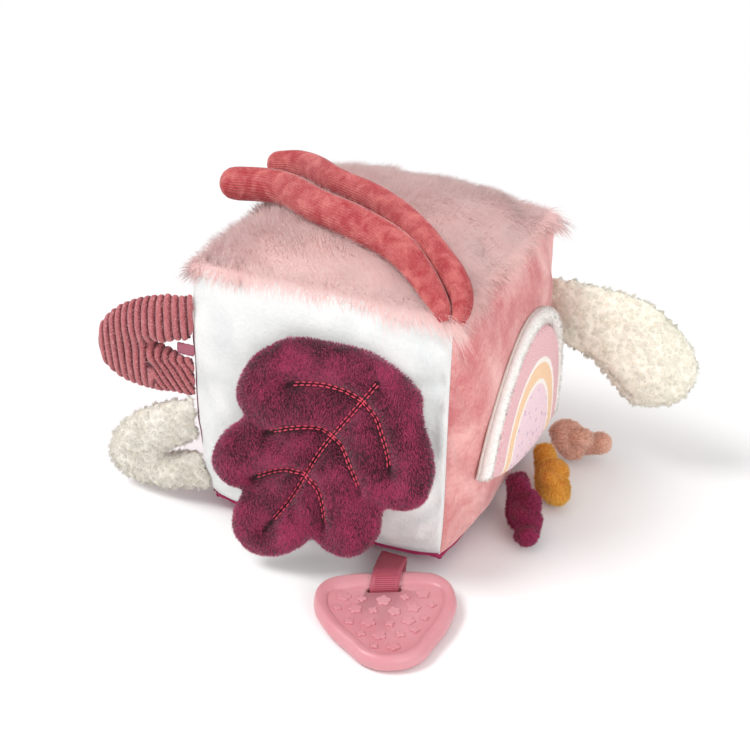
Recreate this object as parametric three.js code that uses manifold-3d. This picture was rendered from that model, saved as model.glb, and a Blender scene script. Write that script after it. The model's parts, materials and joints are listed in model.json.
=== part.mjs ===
// Soft activity block for a baby: a stuffed cube of six fabric panels with a quilted leaf,
// an arch patch with knotted tubes, two stuffed tubes on top, two padded handles, an ear
// and a teether on a ribbon.
// Millimetres, +Z up. The origin lies on the floor under the middle of the cube.
// The white front panel faces -Y and the rose panel, with the arch, faces +X.

import * as THREE from "three";
import { mergeVertices } from "three/addons/utils/BufferGeometryUtils.js";
import Module from "manifold-3d";

// Clearances shared by the whole toy
const seatGap = 0.3;
const softGap = 0.6;
const cutOverrun = 2;
const weldDistance = 0.001;

// The stuffed cube, measured from seam to seam
const blockWidth = 140;
const blockDepth = 144;
const blockHeight = 137;
const sideCrown = 8;
const leftCrown = 10;
const topCrown = 16;
const topCrownPower = 3.2;
const seamLift = 6.5;
const floorFlat = 0.5;
const seamDraw = 1.5;
const bottomTuck = 5;
const leftBelly = 4;
const fabricThickness = 3;
const mitreGap = 0.8;
const panelCells = 10;
const crownPower = 4;
const drawPower = 6;

// The filling and the rattle in its middle
const fillingGap = 1.1;
const capsuleRadius = 17;
const capsuleWall = 1.5;
const rattleBallRadius = 6;
const fillingRings = 5;
const loopSteps = 8;

// The leaf, measured from its sewn base along the midrib
const leafLength = 130;
const leafHalfWidth = 53;
const leafFrontPuff = 7.5;
const leafBackPuff = 3.5;
const leafEdge = 1.2;
const leafSpin = 34;
const leafLean = 10;
const leafBow = 5;
const leafSkewShare = 0.17;
const leafHingeAcrossShare = 0.671;
const leafHingeUpShare = 0.613;
const leafChannelDepth = 2.6;
const leafChannelWidth = 3;
const leafSpokesPerPoint = 3;

// The arch patch on the right face
const archHalfWidth = 59;
const archRise = 75;
const archSag = 9;
const archTurn = 11;
const archCentreY = 6;
const archCentreZ = 38;
const archBorderWidth = 8;
const archBackingThickness = 1.5;
const archPad = 4;
const archFlat = 13;
const archColumns = 24;
const archRows = { backing: 6, border: 2, print: 5 };

// The three knotted tubes under the arch
const knotSewnRadius = 3.6;
const knotStemRadius = 6;
const knotRadius = 10;
const knotTailRadius = 5.5;
const knotDrop = 6;
const knotSteps = 20;
const knotSides = 10;

// The two stuffed tubes on the top
const topTubeRadius = 8.4;
const topTubeSteps = 26;
const topTubeSides = 12;

// Rings of a limb: how finely its curve is followed, and how many close a rounded end
const frameSteps = 400;
const domeSteps = 3;

// The padded handles on the front left seam
const corduroyTop = 129;
const corduroyBottom = 70;
const corduroyReach = 58;
const corduroyDroop = 13;
const corduroyThickness = 9;
const corduroyHoleTop = 101;
const corduroyHoleBottom = 92;
const corduroyHoleReach = 25;
const sherpaTop = 69.2;
const sherpaBottom = 14;
const sherpaReach = 61;
const sherpaDroop = 25;
const sherpaThickness = 13;
const sherpaHoleTop = 43;
const sherpaHoleBottom = 37;
const sherpaHoleReach = 25;
const loopSeamThickness = 1.2;
const loopSwellShare = 0.4;
const loopSections = 18;
const loopSides = 12;
const loopTwist = 5;

// The ribbon tab behind the corduroy handle
const tabWidth = 7;
const tabReach = 8;
const tabThickness = 1.6;
const tabCentreZ = 96.5;
const tabColumns = 4;
const tabEdgeShare = 0.9;

// The ear on the right rear seam
const earLength = 87;
const earWidth = 56;
const earThickness = 24;
const earBaseWidth = 40;
const earSeamThickness = 1.2;
const earCentreZ = 88;
const earSlope = 20;
const earSteps = 14;
const earSides = 14;
const earRoundShare = 0.62;

// The teether, in its own frame: origin at the slot, +Y towards the cube
const teetherHalfWidth = 34.5;
const teetherLength = 66.5;
const teetherThickness = 8.5;
const teetherFloor = 4;
const teetherBead = 6.5;
const teetherBarShare = 0.6;
const teetherBeadSteps = 8;
const teetherCornerSteps = 3;
const teetherSlotInset = 13;
const teetherSlotLength = 17.5;
const teetherSlotWidth = 4.4;
const teetherTurn = 29;
const teetherTilt = 1.6;
const teetherRise = 6.2;
const teetherShift = 8.2;
const teetherAway = 30.4;
const blossomRadius = 3.4;
const blossomHeight = 0.9;
const blossomSides = 20;
const slotSteps = 6;

// The ribbon
const ribbonWidth = 14;
const ribbonThickness = 0.7;
const ribbonSeamShare = 0.593;
const ribbonRise = 0.6;
const ribbonSteps = 30;

const upAxis = new THREE.Vector3(0, 0, 1);
const radians = THREE.MathUtils.degToRad;
const lerp = THREE.MathUtils.lerp;
const smooth = THREE.MathUtils.smoothstep;
const point = (x, y, z) => new THREE.Vector3(x, y, z);

const colours = {
  fur: 0xe9c9c8,
  white: 0xeef0f0,
  rose: 0xdb9a9a,
  burgundy: 0x8c1f4b,
  dusty: 0xc99a92,
  leaf: 0x7a1c3e,
  tube: 0xbd6068,
  corduroy: 0xb06468,
  sherpa: 0xe4ded0,
  cream: 0xf1ebdc,
  print: 0xeec7cf,
  mustard: 0xdda24c,
  plum: 0x8a2c52,
  ribbon: 0xd97c93,
  silicone: 0xe9aeb4,
  filling: 0xf4f4f2,
  plastic: 0xdfe3e6,
};

function finish(colour, roughness = 0.95) {
  return new THREE.MeshStandardMaterial({ color: colour, roughness, metalness: 0 });
}

// A closed solid from loose triangles: shared corners are welded, collapsed triangles are
// dropped, and the faces are turned outwards
function solid(triangles) {
  const positions = triangles.flat().flatMap((corner) => corner.toArray());
  const loose = new THREE.BufferGeometry();
  loose.setAttribute("position", new THREE.Float32BufferAttribute(positions, 3));
  const welded = mergeVertices(loose, weldDistance);
  const source = welded.getIndex().array;
  const kept = [];
  for (let i = 0; i < source.length; i += 3) {
    const [a, b, c] = [source[i], source[i + 1], source[i + 2]];
    if (a !== b && b !== c && c !== a) {
      kept.push([a, b, c]);
    }
  }
  const corner = (index) => new THREE.Vector3().fromBufferAttribute(welded.getAttribute("position"), index);
  const volume = kept.reduce((sum, [a, b, c]) => sum + corner(a).dot(corner(b).cross(corner(c))), 0);
  const facing = volume < 0 ? kept.map(([a, b, c]) => [a, c, b]) : kept;
  welded.setIndex(facing.flat());
  welded.computeVertexNormals();
  return welded;
}

function quad(a, b, c, d) {
  return [[a, b, c], [a, c, d]];
}

// Rings of points joined one after another, with both ends closed by a fan
function loft(rings) {
  const count = rings[0].length;
  const triangles = [];
  for (let k = 0; k + 1 < rings.length; k += 1) {
    for (let i = 0; i < count; i += 1) {
      const j = (i + 1) % count;
      triangles.push(...quad(rings[k][i], rings[k][j], rings[k + 1][j], rings[k + 1][i]));
    }
  }
  for (const [ring, turned] of [[rings[0], true], [rings[rings.length - 1], false]]) {
    const middle = ring.reduce((sum, p) => sum.add(p), point(0, 0, 0)).divideScalar(count);
    for (let i = 0; i < count; i += 1) {
      const j = (i + 1) % count;
      triangles.push(turned ? [middle, ring[j], ring[i]] : [middle, ring[i], ring[j]]);
    }
  }
  return solid(triangles);
}

// A plate between two surfaces, each a function of two shares from 0 to 1
function plate(front, back, columns, rows) {
  const at = (surface, i, j) => surface(i / columns, j / rows);
  const triangles = [];
  for (let i = 0; i < columns; i += 1) {
    for (let j = 0; j < rows; j += 1) {
      triangles.push(...quad(at(front, i, j), at(front, i + 1, j), at(front, i + 1, j + 1), at(front, i, j + 1)));
      triangles.push(...quad(at(back, i, j), at(back, i, j + 1), at(back, i + 1, j + 1), at(back, i + 1, j)));
    }
  }
  for (let i = 0; i < columns; i += 1) {
    triangles.push(...quad(at(back, i, 0), at(back, i + 1, 0), at(front, i + 1, 0), at(front, i, 0)));
    triangles.push(...quad(at(front, i, rows), at(front, i + 1, rows), at(back, i + 1, rows), at(back, i, rows)));
  }
  for (let j = 0; j < rows; j += 1) {
    triangles.push(...quad(at(front, 0, j), at(front, 0, j + 1), at(back, 0, j + 1), at(back, 0, j)));
    triangles.push(...quad(at(back, columns, j), at(back, columns, j + 1), at(front, columns, j + 1), at(front, columns, j)));
  }
  return solid(triangles);
}

function mesh(name, geometry, material) {
  const piece = new THREE.Mesh(geometry, material);
  piece.name = name;
  return piece;
}

// The cube's form: a, b and c run from -1 to 1 between opposite faces. The faces are crowned
// and the seams are drawn in between the corners.
const blockMiddle = seamLift + blockHeight / 2;
const bottomCrown = seamLift + floorFlat;

function blockPoint(a, b, c) {
  const bulge = (p, q, power = crownPower) => (1 - Math.abs(p) ** power) * (1 - Math.abs(q) ** power);
  const tuck = (p) => bottomTuck * ((1 - c) / 2) ** drawPower * Math.abs(p) ** crownPower;
  const drawn = (p, q) => {
    const alongQ = Math.abs(p) ** drawPower * (1 - q * q);
    const alongP = Math.abs(q) ** drawPower * (1 - p * p);
    return seamDraw * (alongQ + alongP);
  };
  const belly = a < 0 ? leftBelly * (1 - c * c) : 0;
  const topBulge = c > 0 ? topCrown * bulge(a, b, topCrownPower) : bottomCrown * bulge(a, b);
  const x = a * (blockWidth / 2 + belly - tuck(b) + (a < 0 ? leftCrown : sideCrown) * bulge(b, c) - drawn(b, c));
  const y = b * (blockDepth / 2 - tuck(a) + sideCrown * bulge(a, c) - drawn(a, c));
  const z = c * (blockHeight / 2 + topBulge - (c > 0 ? drawn(a, b) : 0));
  return point(x, y, Math.max(blockMiddle + z, 0));
}

// The shares on a face, from -1 to 1, of the point whose two coordinates there are u and v
function faceShares(u, v, halfU, halfV, found) {
  let shareU = 0;
  let shareV = 0;
  for (let pass = 0; pass < loopSteps; pass += 1) {
    const [foundU, foundV] = found(shareU, shareV);
    shareU = THREE.MathUtils.clamp(shareU + (u - foundU) / halfU, -1, 1);
    shareV = THREE.MathUtils.clamp(shareV + (v - foundV) / halfV, -1, 1);
  }
  return [shareU, shareV];
}

function frontSurfaceY(x, z) {
  const found = (a, c) => [blockPoint(a, -1, c).x, blockPoint(a, -1, c).z];
  const [a, c] = faceShares(x, z, blockWidth / 2, blockHeight / 2, found);
  return blockPoint(a, -1, c).y;
}

function rightSurfaceX(y, z) {
  const found = (b, c) => [blockPoint(1, b, c).y, blockPoint(1, b, c).z];
  const [b, c] = faceShares(y, z, blockDepth / 2, blockHeight / 2, found);
  return blockPoint(1, b, c).x;
}

function topSurfaceZ(x, y) {
  const found = (a, b) => [blockPoint(a, b, 1).x, blockPoint(a, b, 1).y];
  const [a, b] = faceShares(x, y, blockWidth / 2, blockDepth / 2, found);
  return blockPoint(a, b, 1).z;
}

// How high a round thing must lie above the top's surface to touch it where it slopes
function topRest(x, y, radius) {
  const step = topTubeRadius / 2;
  const slopeX = (topSurfaceZ(x + step, y) - topSurfaceZ(x - step, y)) / (2 * step);
  const slopeY = (topSurfaceZ(x, y + step) - topSurfaceZ(x, y - step)) / (2 * step);
  return topSurfaceZ(x, y) + (radius + softGap) * Math.hypot(1, slopeX, slopeY);
}

const skinShare = 1 - fabricThickness / (blockWidth / 2);
const mitreShare = mitreGap / blockWidth;
const coreShare = skinShare - fillingGap / (blockWidth / 2);

// One fabric panel: the outer face, the inner face behind it, and mitred edges at the seams
function panel(name, place, material) {
  const surface = (depthShare) => (i, j) => {
    const spread = (share) => (1 - mitreShare) * Math.sin((share - 0.5) * Math.PI);
    const [a, b, c] = place(spread(i), spread(j)).map((share) => share * depthShare);
    return blockPoint(a, b, c);
  };
  return mesh(name, plate(surface(1), surface(skinShare), panelCells, panelCells), material);
}

function panels() {
  return [
    panel("fur_top", (u, v) => [u, v, 1], finish(colours.fur)),
    panel("front_panel", (u, v) => [u, -1, v], finish(colours.white)),
    panel("right_panel", (u, v) => [1, u, v], finish(colours.rose)),
    panel("left_panel", (u, v) => [-1, u, v], finish(colours.burgundy)),
    panel("rear_panel", (u, v) => [u, 1, v], finish(colours.dusty)),
    panel("bottom_panel", (u, v) => [u, v, -1], finish(colours.burgundy)),
  ];
}

// Points round a unit square, starting at a corner
function squareLoop() {
  const corners = [[-1, -1], [1, -1], [1, 1], [-1, 1]];
  return corners.flatMap(([x, y], side) => {
    const [nextX, nextY] = corners[(side + 1) % corners.length];
    return Array.from({ length: panelCells }, (_, i) => {
      const share = (1 - Math.cos((Math.PI * i) / panelCells)) / 2;
      return [lerp(x, nextX, share), lerp(y, nextY, share)];
    });
  });
}

function circleRing(radius, z) {
  return squareLoop().map(([x, y]) => {
    const angle = Math.atan2(y, x);
    return point(radius * Math.cos(angle), radius * Math.sin(angle), z);
  });
}

// Rings of a half ball from its rim to its pole, on the side given by the sign
function domeRings(radius, sign, rim) {
  return Array.from({ length: loopSteps / 2 + 1 }, (_, k) => {
    const angle = (k / (loopSteps / 2)) * (Math.PI / 2);
    const height = Math.max(radius * Math.sin(angle), rim);
    return circleRing(radius * Math.cos(angle), blockMiddle + sign * height);
  });
}

// Half of the filling, with a round pocket for the rattle
function stuffing(name, sign) {
  const ring = (spread, c) => squareLoop().map(([a, b]) => {
    return blockPoint(a * spread * coreShare, b * spread * coreShare, sign * c * coreShare);
  });
  const split = softGap / blockHeight;
  const turns = Array.from({ length: fillingRings }, (_, k) => ((k / fillingRings) * Math.PI) / 2);
  const rings = [
    ...turns.map((turn) => ring(Math.sin(turn), 1)),
    ...turns.map((turn) => ring(1, Math.cos(turn))),
    ring(1, split / coreShare),
  ];
  const pocket = domeRings(capsuleRadius + softGap, sign, softGap / 2);
  return mesh(name, loft([...rings, ...pocket]), finish(colours.filling, 1));
}

function rattleCap(name, sign) {
  const outer = domeRings(capsuleRadius, sign, seatGap / 2);
  const inner = domeRings(capsuleRadius - capsuleWall, sign, seatGap / 2);
  return mesh(name, loft([...outer.reverse(), ...inner]), finish(colours.plastic, 0.4));
}

function rattleBall() {
  const ball = new THREE.SphereGeometry(rattleBallRadius, loopSteps * 2, loopSteps);
  const geometry = new THREE.BufferGeometry();
  geometry.setAttribute("position", ball.getAttribute("position"));
  geometry.setIndex(ball.getIndex());
  const corners = geometry.toNonIndexed().getAttribute("position");
  const triangles = [];
  for (let i = 0; i < corners.count; i += 3) {
    triangles.push([0, 1, 2].map((k) => new THREE.Vector3().fromBufferAttribute(corners, i + k)));
  }
  const piece = mesh("rattle_ball", solid(triangles), finish(colours.plastic, 0.4));
  piece.position.z = blockMiddle - capsuleRadius + capsuleWall + rattleBallRadius + seatGap;
  return piece;
}

// The leaf lies in its own plane: s runs down the midrib and t across it
const leafOutlineShares = [
  [0.015, 0.24],
  [0.085, 0.5],
  [0.2, 0.87],
  [0.355, 1],
  [0.465, 0.91],
  [0.515, 0.745],
  [0.615, 0.84],
  [0.745, 0.79],
  [0.8, 0.55],
  [0.79, 0.39],
  [0.865, 0.35],
  [0.955, 0.22],
];
const leafTipShares = [[1, 0]];
const veinStartShares = [0.18, 0.375, 0.575];
const veinEndShares = [0.6, 0.51, 0.4];
const veinFallShare = 0.148;
const midribShares = [0.09, 0.87];
const leafMiddleShare = 0.46;
const leafBowStartShares = [0.01, 0.07];
const leafBowEndShares = [0.4, 0.75];
const leafSkewShares = [0.32, 0.5];
const leafRingShares = [0, 0.2, 0.4, 0.58, 0.74, 0.86, 0.95, 1];

// The real leaf hangs a little skewed, with a bowed midrib
function leafPlane(s, t) {
  const share = s / leafLength;
  const bow = leafBow * smooth(share, ...leafBowStartShares) * (1 - smooth(share, ...leafBowEndShares));
  const skew = leafSkewShare * smooth(share, ...leafSkewShares);
  return [s - skew * t, t - bow];
}

function leafOutline() {
  const right = leafOutlineShares.map(([s, t]) => [s * leafLength, t * leafHalfWidth]);
  const left = right.map(([s, t]) => [s, -t]).reverse();
  const tip = leafTipShares.map(([s, t]) => [s * leafLength, t * leafHalfWidth]);
  const corners = [...right, ...tip, ...left].map(([s, t]) => point(...leafPlane(s, t), 0));
  const curve = new THREE.CatmullRomCurve3(corners, true, "centripetal");
  return curve.getPoints(corners.length * leafSpokesPerPoint).slice(0, -1);
}

function leafVeins() {
  const steps = Array.from({ length: loopSteps * 2 + 1 }, (_, i) => i / (loopSteps * 2));
  const midrib = steps.map((share) => [lerp(...midribShares, share) * leafLength, 0]);
  const sides = veinStartShares.flatMap((start, i) => [-1, 1].map((sign) => steps.map((share) => {
    const fall = veinFallShare * share * share;
    return [(start + fall) * leafLength, sign * veinEndShares[i] * leafHalfWidth * share];
  })));
  return [midrib, ...sides].flat().map(([s, t]) => point(...leafPlane(s, t), 0));
}

function leafLayer(name, puff, side, channels, material) {
  const outline = leafOutline();
  const middle = point(...leafPlane(leafMiddleShare * leafLength, 0), 0);
  const veins = leafVeins();
  const channelAt = (place) => {
    const nearest = Math.min(...veins.map((vein) => vein.distanceTo(place)));
    return channels * Math.exp(-((nearest / leafChannelWidth) ** 2));
  };
  const layer = (share) => outline.map((rim) => {
    const place = middle.clone().lerp(rim, share);
    const swell = Math.sqrt(1 - share ** crownPower);
    const height = leafEdge + (puff - leafEdge) * swell - channelAt(place) * swell;
    return point(place.y, side * (seatGap / 2 + height), -place.x);
  });
  const flat = (share) => outline.map((rim) => {
    const place = middle.clone().lerp(rim, share);
    return point(place.y, (side * seatGap) / 2, -place.x);
  });
  return mesh(name, loft([...leafRingShares.map(layer), flat(1), flat(0)]), material);
}

function leaf() {
  const group = new THREE.Group();
  group.add(leafLayer("leaf_front", leafFrontPuff, -1, leafChannelDepth, finish(colours.leaf)));
  group.add(leafLayer("leaf_back", leafBackPuff, 1, 0, finish(colours.leaf)));
  const hingeX = (leafHingeAcrossShare * blockWidth) / 2;
  const hingeZ = blockMiddle + (leafHingeUpShare * blockHeight) / 2;
  group.position.set(hingeX, frontSurfaceY(hingeX, hingeZ) - leafBackPuff / 2 - 2 * softGap, hingeZ);
  const across = point(Math.cos(radians(leafSpin)), 0, -Math.sin(radians(leafSpin)));
  const down = point(-Math.sin(radians(leafSpin)), 0, -Math.cos(radians(leafSpin)));
  const along = down.multiplyScalar(Math.cos(radians(leafLean)));
  along.y = -Math.sin(radians(leafLean));
  const up = along.negate();
  const inwards = up.clone().cross(across);
  group.setRotationFromMatrix(new THREE.Matrix4().makeBasis(across, inwards, up));
  return group;
}

// A place on the arch patch: angle round the arch from its front foot, and the share of the
// way out from the middle of its foot line
function archPlace(angle, share) {
  const u = -archHalfWidth * share * Math.cos(angle);
  const w = archRise * share * Math.sin(angle);
  const low = 1 - Math.min(w / archSag, 1);
  const sag = archSag * (1 - (u / archHalfWidth) ** 2) * low * low;
  const turn = radians(archTurn);
  const y = archCentreY + u * Math.cos(turn) + (w - sag) * Math.sin(turn);
  const z = archCentreZ - u * Math.sin(turn) + (w - sag) * Math.cos(turn);
  return [y, z];
}

function archBackX(y, z) {
  return rightSurfaceX(y, z) + softGap;
}

function archFaceX(y, z) {
  return lerp(archBackX(y, z) + archBackingThickness + archPad, blockWidth / 2 + archFlat, 0.5);
}

function archLayer(name, inner, outer, rows, backX, frontX, material) {
  const surface = (depth) => (i, j) => {
    const [y, z] = archPlace(Math.PI * i, lerp(inner, outer, j));
    return point(depth(y, z), y, z);
  };
  return mesh(name, plate(surface(frontX), surface(backX), archColumns, rows), material);
}

function arch() {
  const seam = 1 - archBorderWidth / archRise;
  const gap = seatGap / archRise;
  const backingFace = (y, z) => archBackX(y, z) + archBackingThickness;
  const rest = (y, z) => backingFace(y, z) + softGap;
  return [
    archLayer("arch_backing", 0, 1, archRows.backing, archBackX, backingFace, finish(colours.white)),
    archLayer("arch_border", seam + gap, 1, archRows.border, rest, archFaceX, finish(colours.cream)),
    archLayer("arch_print", 0, seam - gap, archRows.print, rest, archFaceX, finish(colours.print)),
  ];
}

// A stuffed limb: a round section carried along a curve, with its radius given at each share
// of the way, lifted where it would sink into what it lies on. Each end is rounded over the
// length given for it.
function limb(name, places, { radiusAt, restAt, rounded, steps, sides }, material) {
  const curve = new THREE.CatmullRomCurve3(places, false, "centripetal");
  const frames = curve.computeFrenetFrames(frameSteps, false);
  const [from, to] = rounded.map((length) => length / curve.getLength());
  const turns = Array.from({ length: domeSteps }, (_, k) => ((k / domeSteps) * Math.PI) / 2);
  const start = from > 0 ? turns.map((turn) => [from * (1 - Math.cos(turn)), Math.sin(turn)]) : [];
  const end = to > 0 ? turns.map((turn) => [1 - to * (1 - Math.cos(turn)), Math.sin(turn)]).reverse() : [];
  const middle = Array.from({ length: steps + 1 }, (_, k) => [lerp(from, 1 - to, k / steps), 1]);
  const rings = [...start, ...middle, ...end].map(([share, narrowing]) => {
    const centre = curve.getPointAt(share);
    const rest = radiusAt(share);
    const radius = rest * narrowing;
    centre.z = Math.max(centre.z, restAt(centre.x, centre.y, rest));
    const frame = Math.round(share * frameSteps);
    return Array.from({ length: sides }, (_, i) => {
      const angle = (2 * Math.PI * i) / sides;
      const across = frames.normals[frame].clone().multiplyScalar(radius * Math.cos(angle));
      const over = frames.binormals[frame].clone().multiplyScalar(radius * Math.sin(angle));
      return centre.clone().add(across).add(over);
    });
  });
  return mesh(name, loft(rings), material);
}

// Piecewise radius along a limb, smoothed between its stations
function profile(stations) {
  return (share) => {
    const next = Math.max(stations.findIndex(([at]) => at >= share), 1);
    const [fromAt, from] = stations[next - 1];
    const [toAt, to] = stations[next];
    const part = THREE.MathUtils.smoothstep(share, fromAt, toAt);
    return lerp(from, to, part);
  };
}

const knotStationShares = { stem: [0.12, 0.36], knot: [0.48, 0.66], tail: [0.76, 1] };
const knotStations = [
  [0, knotSewnRadius],
  ...knotStationShares.stem.map((share) => [share, knotStemRadius]),
  ...knotStationShares.knot.map((share) => [share, knotRadius]),
  ...knotStationShares.tail.map((share) => [share, knotTailRadius]),
];

// Each knotted tube: its foot on the right face as shares of half the cube's depth and height,
// how much of its radius stands off that face, then its knot and its tail as shares of half the
// cube's width and depth, the tail also with its height as a share of the tail's radius
const knotShares = {
  burgundy: { foot: [-0.083, -0.723], seat: 0.3, knot: [1.286, -0.208], tail: [1.4, -0.486, 1.27] },
  mustard: { foot: [0.5, -0.812], seat: 0.41, knot: [1.343, 0.264], tail: [1.414, 0.097, 1.82] },
  dusty: { foot: [0.861, -0.803], seat: 0.22, knot: [1.286, 0.861], tail: [1.6, 0.972, 2.18] },
};

const floorRest = (x, y, radius) => radius + softGap;

// A knotted tube hangs from the arch's lower edge, knot and tail lying on the floor
function knottedTube(name, { foot, seat, knot, tail }, colour) {
  const footY = (foot[0] * blockDepth) / 2;
  const footZ = blockMiddle + (foot[1] * blockHeight) / 2;
  const stemTop = point(rightSurfaceX(footY, footZ) + knotStemRadius * seat, footY, footZ);
  const lying = ([x, y], z) => point((x * blockWidth) / 2, (y * blockDepth) / 2, z);
  const knotPlace = lying(knot, knotRadius + floorFlat + softGap);
  const tailPlace = lying(tail, tail[2] * knotTailRadius);
  const above = stemTop.clone().lerp(knotPlace, 0.5);
  above.x += knotDrop / 2;
  above.z += knotDrop / 2;
  const shape = {
    radiusAt: profile(knotStations),
    restAt: floorRest,
    rounded: [0, knotTailRadius],
    steps: knotSteps,
    sides: knotSides,
  };
  return limb(name, [stemTop, above, knotPlace, tailPlace], shape, finish(colour));
}

function knottedTubes() {
  const tone = { burgundy: colours.plum, mustard: colours.mustard, dusty: colours.dusty };
  return Object.entries(knotShares).map(([name, lie]) => knottedTube(`knot_${name}`, lie, tone[name]));
}

// Each stuffed tube as shares of the cube's half width and half depth and of the tube's
// radius, from its free end to its flat end in the seam at the near corner
const topTubeShares = {
  top_tube_front: [
    [-1.26, -0.115, 0.98],
    [-1.11, -0.108, 1],
    [-0.76, -0.15, 1],
    [-0.309, -0.387, 1],
    [0.073, -0.521, 1],
    [0.446, -0.675, 0.9],
    [0.627, -0.79, 0.78],
    [0.774, -0.887, 0.68],
    [0.876, -0.946, 0.38],
  ],
  top_tube_rear: [
    [-1.147, 0.404, 0.8],
    [-0.871, 0.387, 0.86],
    [-0.383, 0.079, 0.86],
    [0.043, -0.131, 0.86],
    [0.406, -0.375, 0.86],
    [0.686, -0.575, 0.8],
    [0.85, -0.685, 0.78],
    [0.95, -0.775, 0.72],
    [1, -0.88, 0.5],
    [1.03, -0.985, 0.3],
  ],
};
const tubeOverhangShare = 0.76;

const topTubeRest = (x, y, radius) => {
  return topRest(Math.max(x, (-tubeOverhangShare * blockWidth) / 2), y, radius);
};

function topTube(name) {
  const spots = topTubeShares[name].map(([acrossShare, alongShare, radiusShare]) => {
    const x = (acrossShare * blockWidth) / 2;
    const y = (alongShare * blockDepth) / 2;
    const radius = radiusShare * topTubeRadius;
    return { place: point(x, y, topTubeRest(x, y, radius)), radius };
  });
  const places = spots.map(({ place }) => place);
  const lengths = places.map((place, i) => (i === 0 ? 0 : place.distanceTo(places[i - 1])));
  const total = lengths.reduce((sum, length) => sum + length, 0);
  let passed = 0;
  const stations = spots.map(({ radius }, i) => {
    passed += lengths[i];
    return [passed / total, radius];
  });
  const shape = {
    radiusAt: profile([[0, spots[0].radius], ...stations.slice(1)]),
    restAt: topTubeRest,
    rounded: [spots[0].radius, 0],
    steps: topTubeSteps,
    sides: topTubeSides,
  };
  return limb(name, places, shape, finish(colours.tube));
}

// The seam at the front left edge, at a height
function frontLeftSeam(z) {
  const share = (z - blockMiddle) / (blockHeight / 2);
  return blockPoint(-1, -1, share);
}

// A padded handle: a flat D sewn into the seam at both ends, with a finger hole between
function handle(name, size, material) {
  const outerMiddle = (size.top + size.bottom) / 2;
  const outerHalf = (size.top - size.bottom) / 2;
  const holeMiddle = (size.holeTop + size.holeBottom) / 2;
  const holeHalf = (size.holeTop - size.holeBottom) / 2;
  const rings = Array.from({ length: loopSections + 1 }, (_, k) => {
    const angle = (Math.PI * k) / loopSections;
    const out = Math.sin(angle);
    const outer = [
      -size.reach * out ** size.squareShare,
      outerMiddle + outerHalf * Math.sign(Math.cos(angle)) * Math.abs(Math.cos(angle)) ** size.squareShare - size.droop * out,
    ];
    const inner = [
      -size.holeReach * out ** size.squareShare,
      holeMiddle + holeHalf * Math.cos(angle) - size.droop * size.holeDroopShare * out,
    ];
    const thick = lerp(loopSeamThickness, size.thickness, Math.min(1, out / loopSwellShare)) / 2;
    const y = loopTwist * (k / loopSections) * out;
    const across = point(outer[0] - inner[0], 0, outer[1] - inner[1]).multiplyScalar(0.5);
    const centre = point((outer[0] + inner[0]) / 2, y, (outer[1] + inner[1]) / 2);
    return Array.from({ length: loopSides }, (_, i) => {
      const turn = (2 * Math.PI * i) / loopSides;
      const side = across.clone().multiplyScalar(Math.cos(turn));
      const place = centre.clone().add(side).add(point(0, thick * Math.sin(turn), 0));
      const seam = frontLeftSeam(place.z);
      return place.add(point(seam.x - softGap, seam.y - softGap, 0));
    });
  });
  return mesh(name, loft(rings), material);
}

function handles() {
  const corduroy = {
    top: corduroyTop,
    bottom: corduroyBottom,
    reach: corduroyReach,
    droop: corduroyDroop,
    thickness: corduroyThickness,
    holeTop: corduroyHoleTop,
    holeBottom: corduroyHoleBottom,
    holeReach: corduroyHoleReach,
    squareShare: 0.85,
    holeDroopShare: 0.1,
  };
  const sherpa = {
    top: sherpaTop,
    bottom: sherpaBottom,
    reach: sherpaReach,
    droop: sherpaDroop,
    thickness: sherpaThickness,
    holeTop: sherpaHoleTop,
    holeBottom: sherpaHoleBottom,
    holeReach: sherpaHoleReach,
    squareShare: 0.9,
    holeDroopShare: 0.5,
  };
  return [
    handle("corduroy_loop", corduroy, finish(colours.corduroy)),
    handle("sherpa_loop", sherpa, finish(colours.sherpa)),
  ];
}

function seamTab() {
  const seam = frontLeftSeam(tabCentreZ);
  const surface = (side) => (i, j) => {
    const z = tabCentreZ + tabWidth * (j - 0.5);
    const edge = frontLeftSeam(z);
    const y = seam.y - softGap + side * tabThickness * Math.sqrt(1 - (2 * i - 1) ** 2 * tabEdgeShare);
    return point(edge.x - softGap - tabReach * i, y, z);
  };
  return mesh("seam_tab", plate(surface(-0.5), surface(0.5), tabColumns, 1), finish(colours.ribbon));
}

// The ear: a stuffed drop, flat where it is sewn into the right rear seam. Its half width and
// half thickness, as shares of the full ones, stand at shares of the way out.
const earWidthShares = [[0, 0.5 * (earBaseWidth / earWidth)], [0.2, 0.5 * (earBaseWidth / earWidth)], [0.66, 0.5], [1, 0.5]];
const earThicknessShares = [[0, 0.5 * (earSeamThickness / earThickness)], [0.25, 0.3], [0.65, 0.5], [1, 0.5]];
const earReachShare = 0.9;

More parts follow.
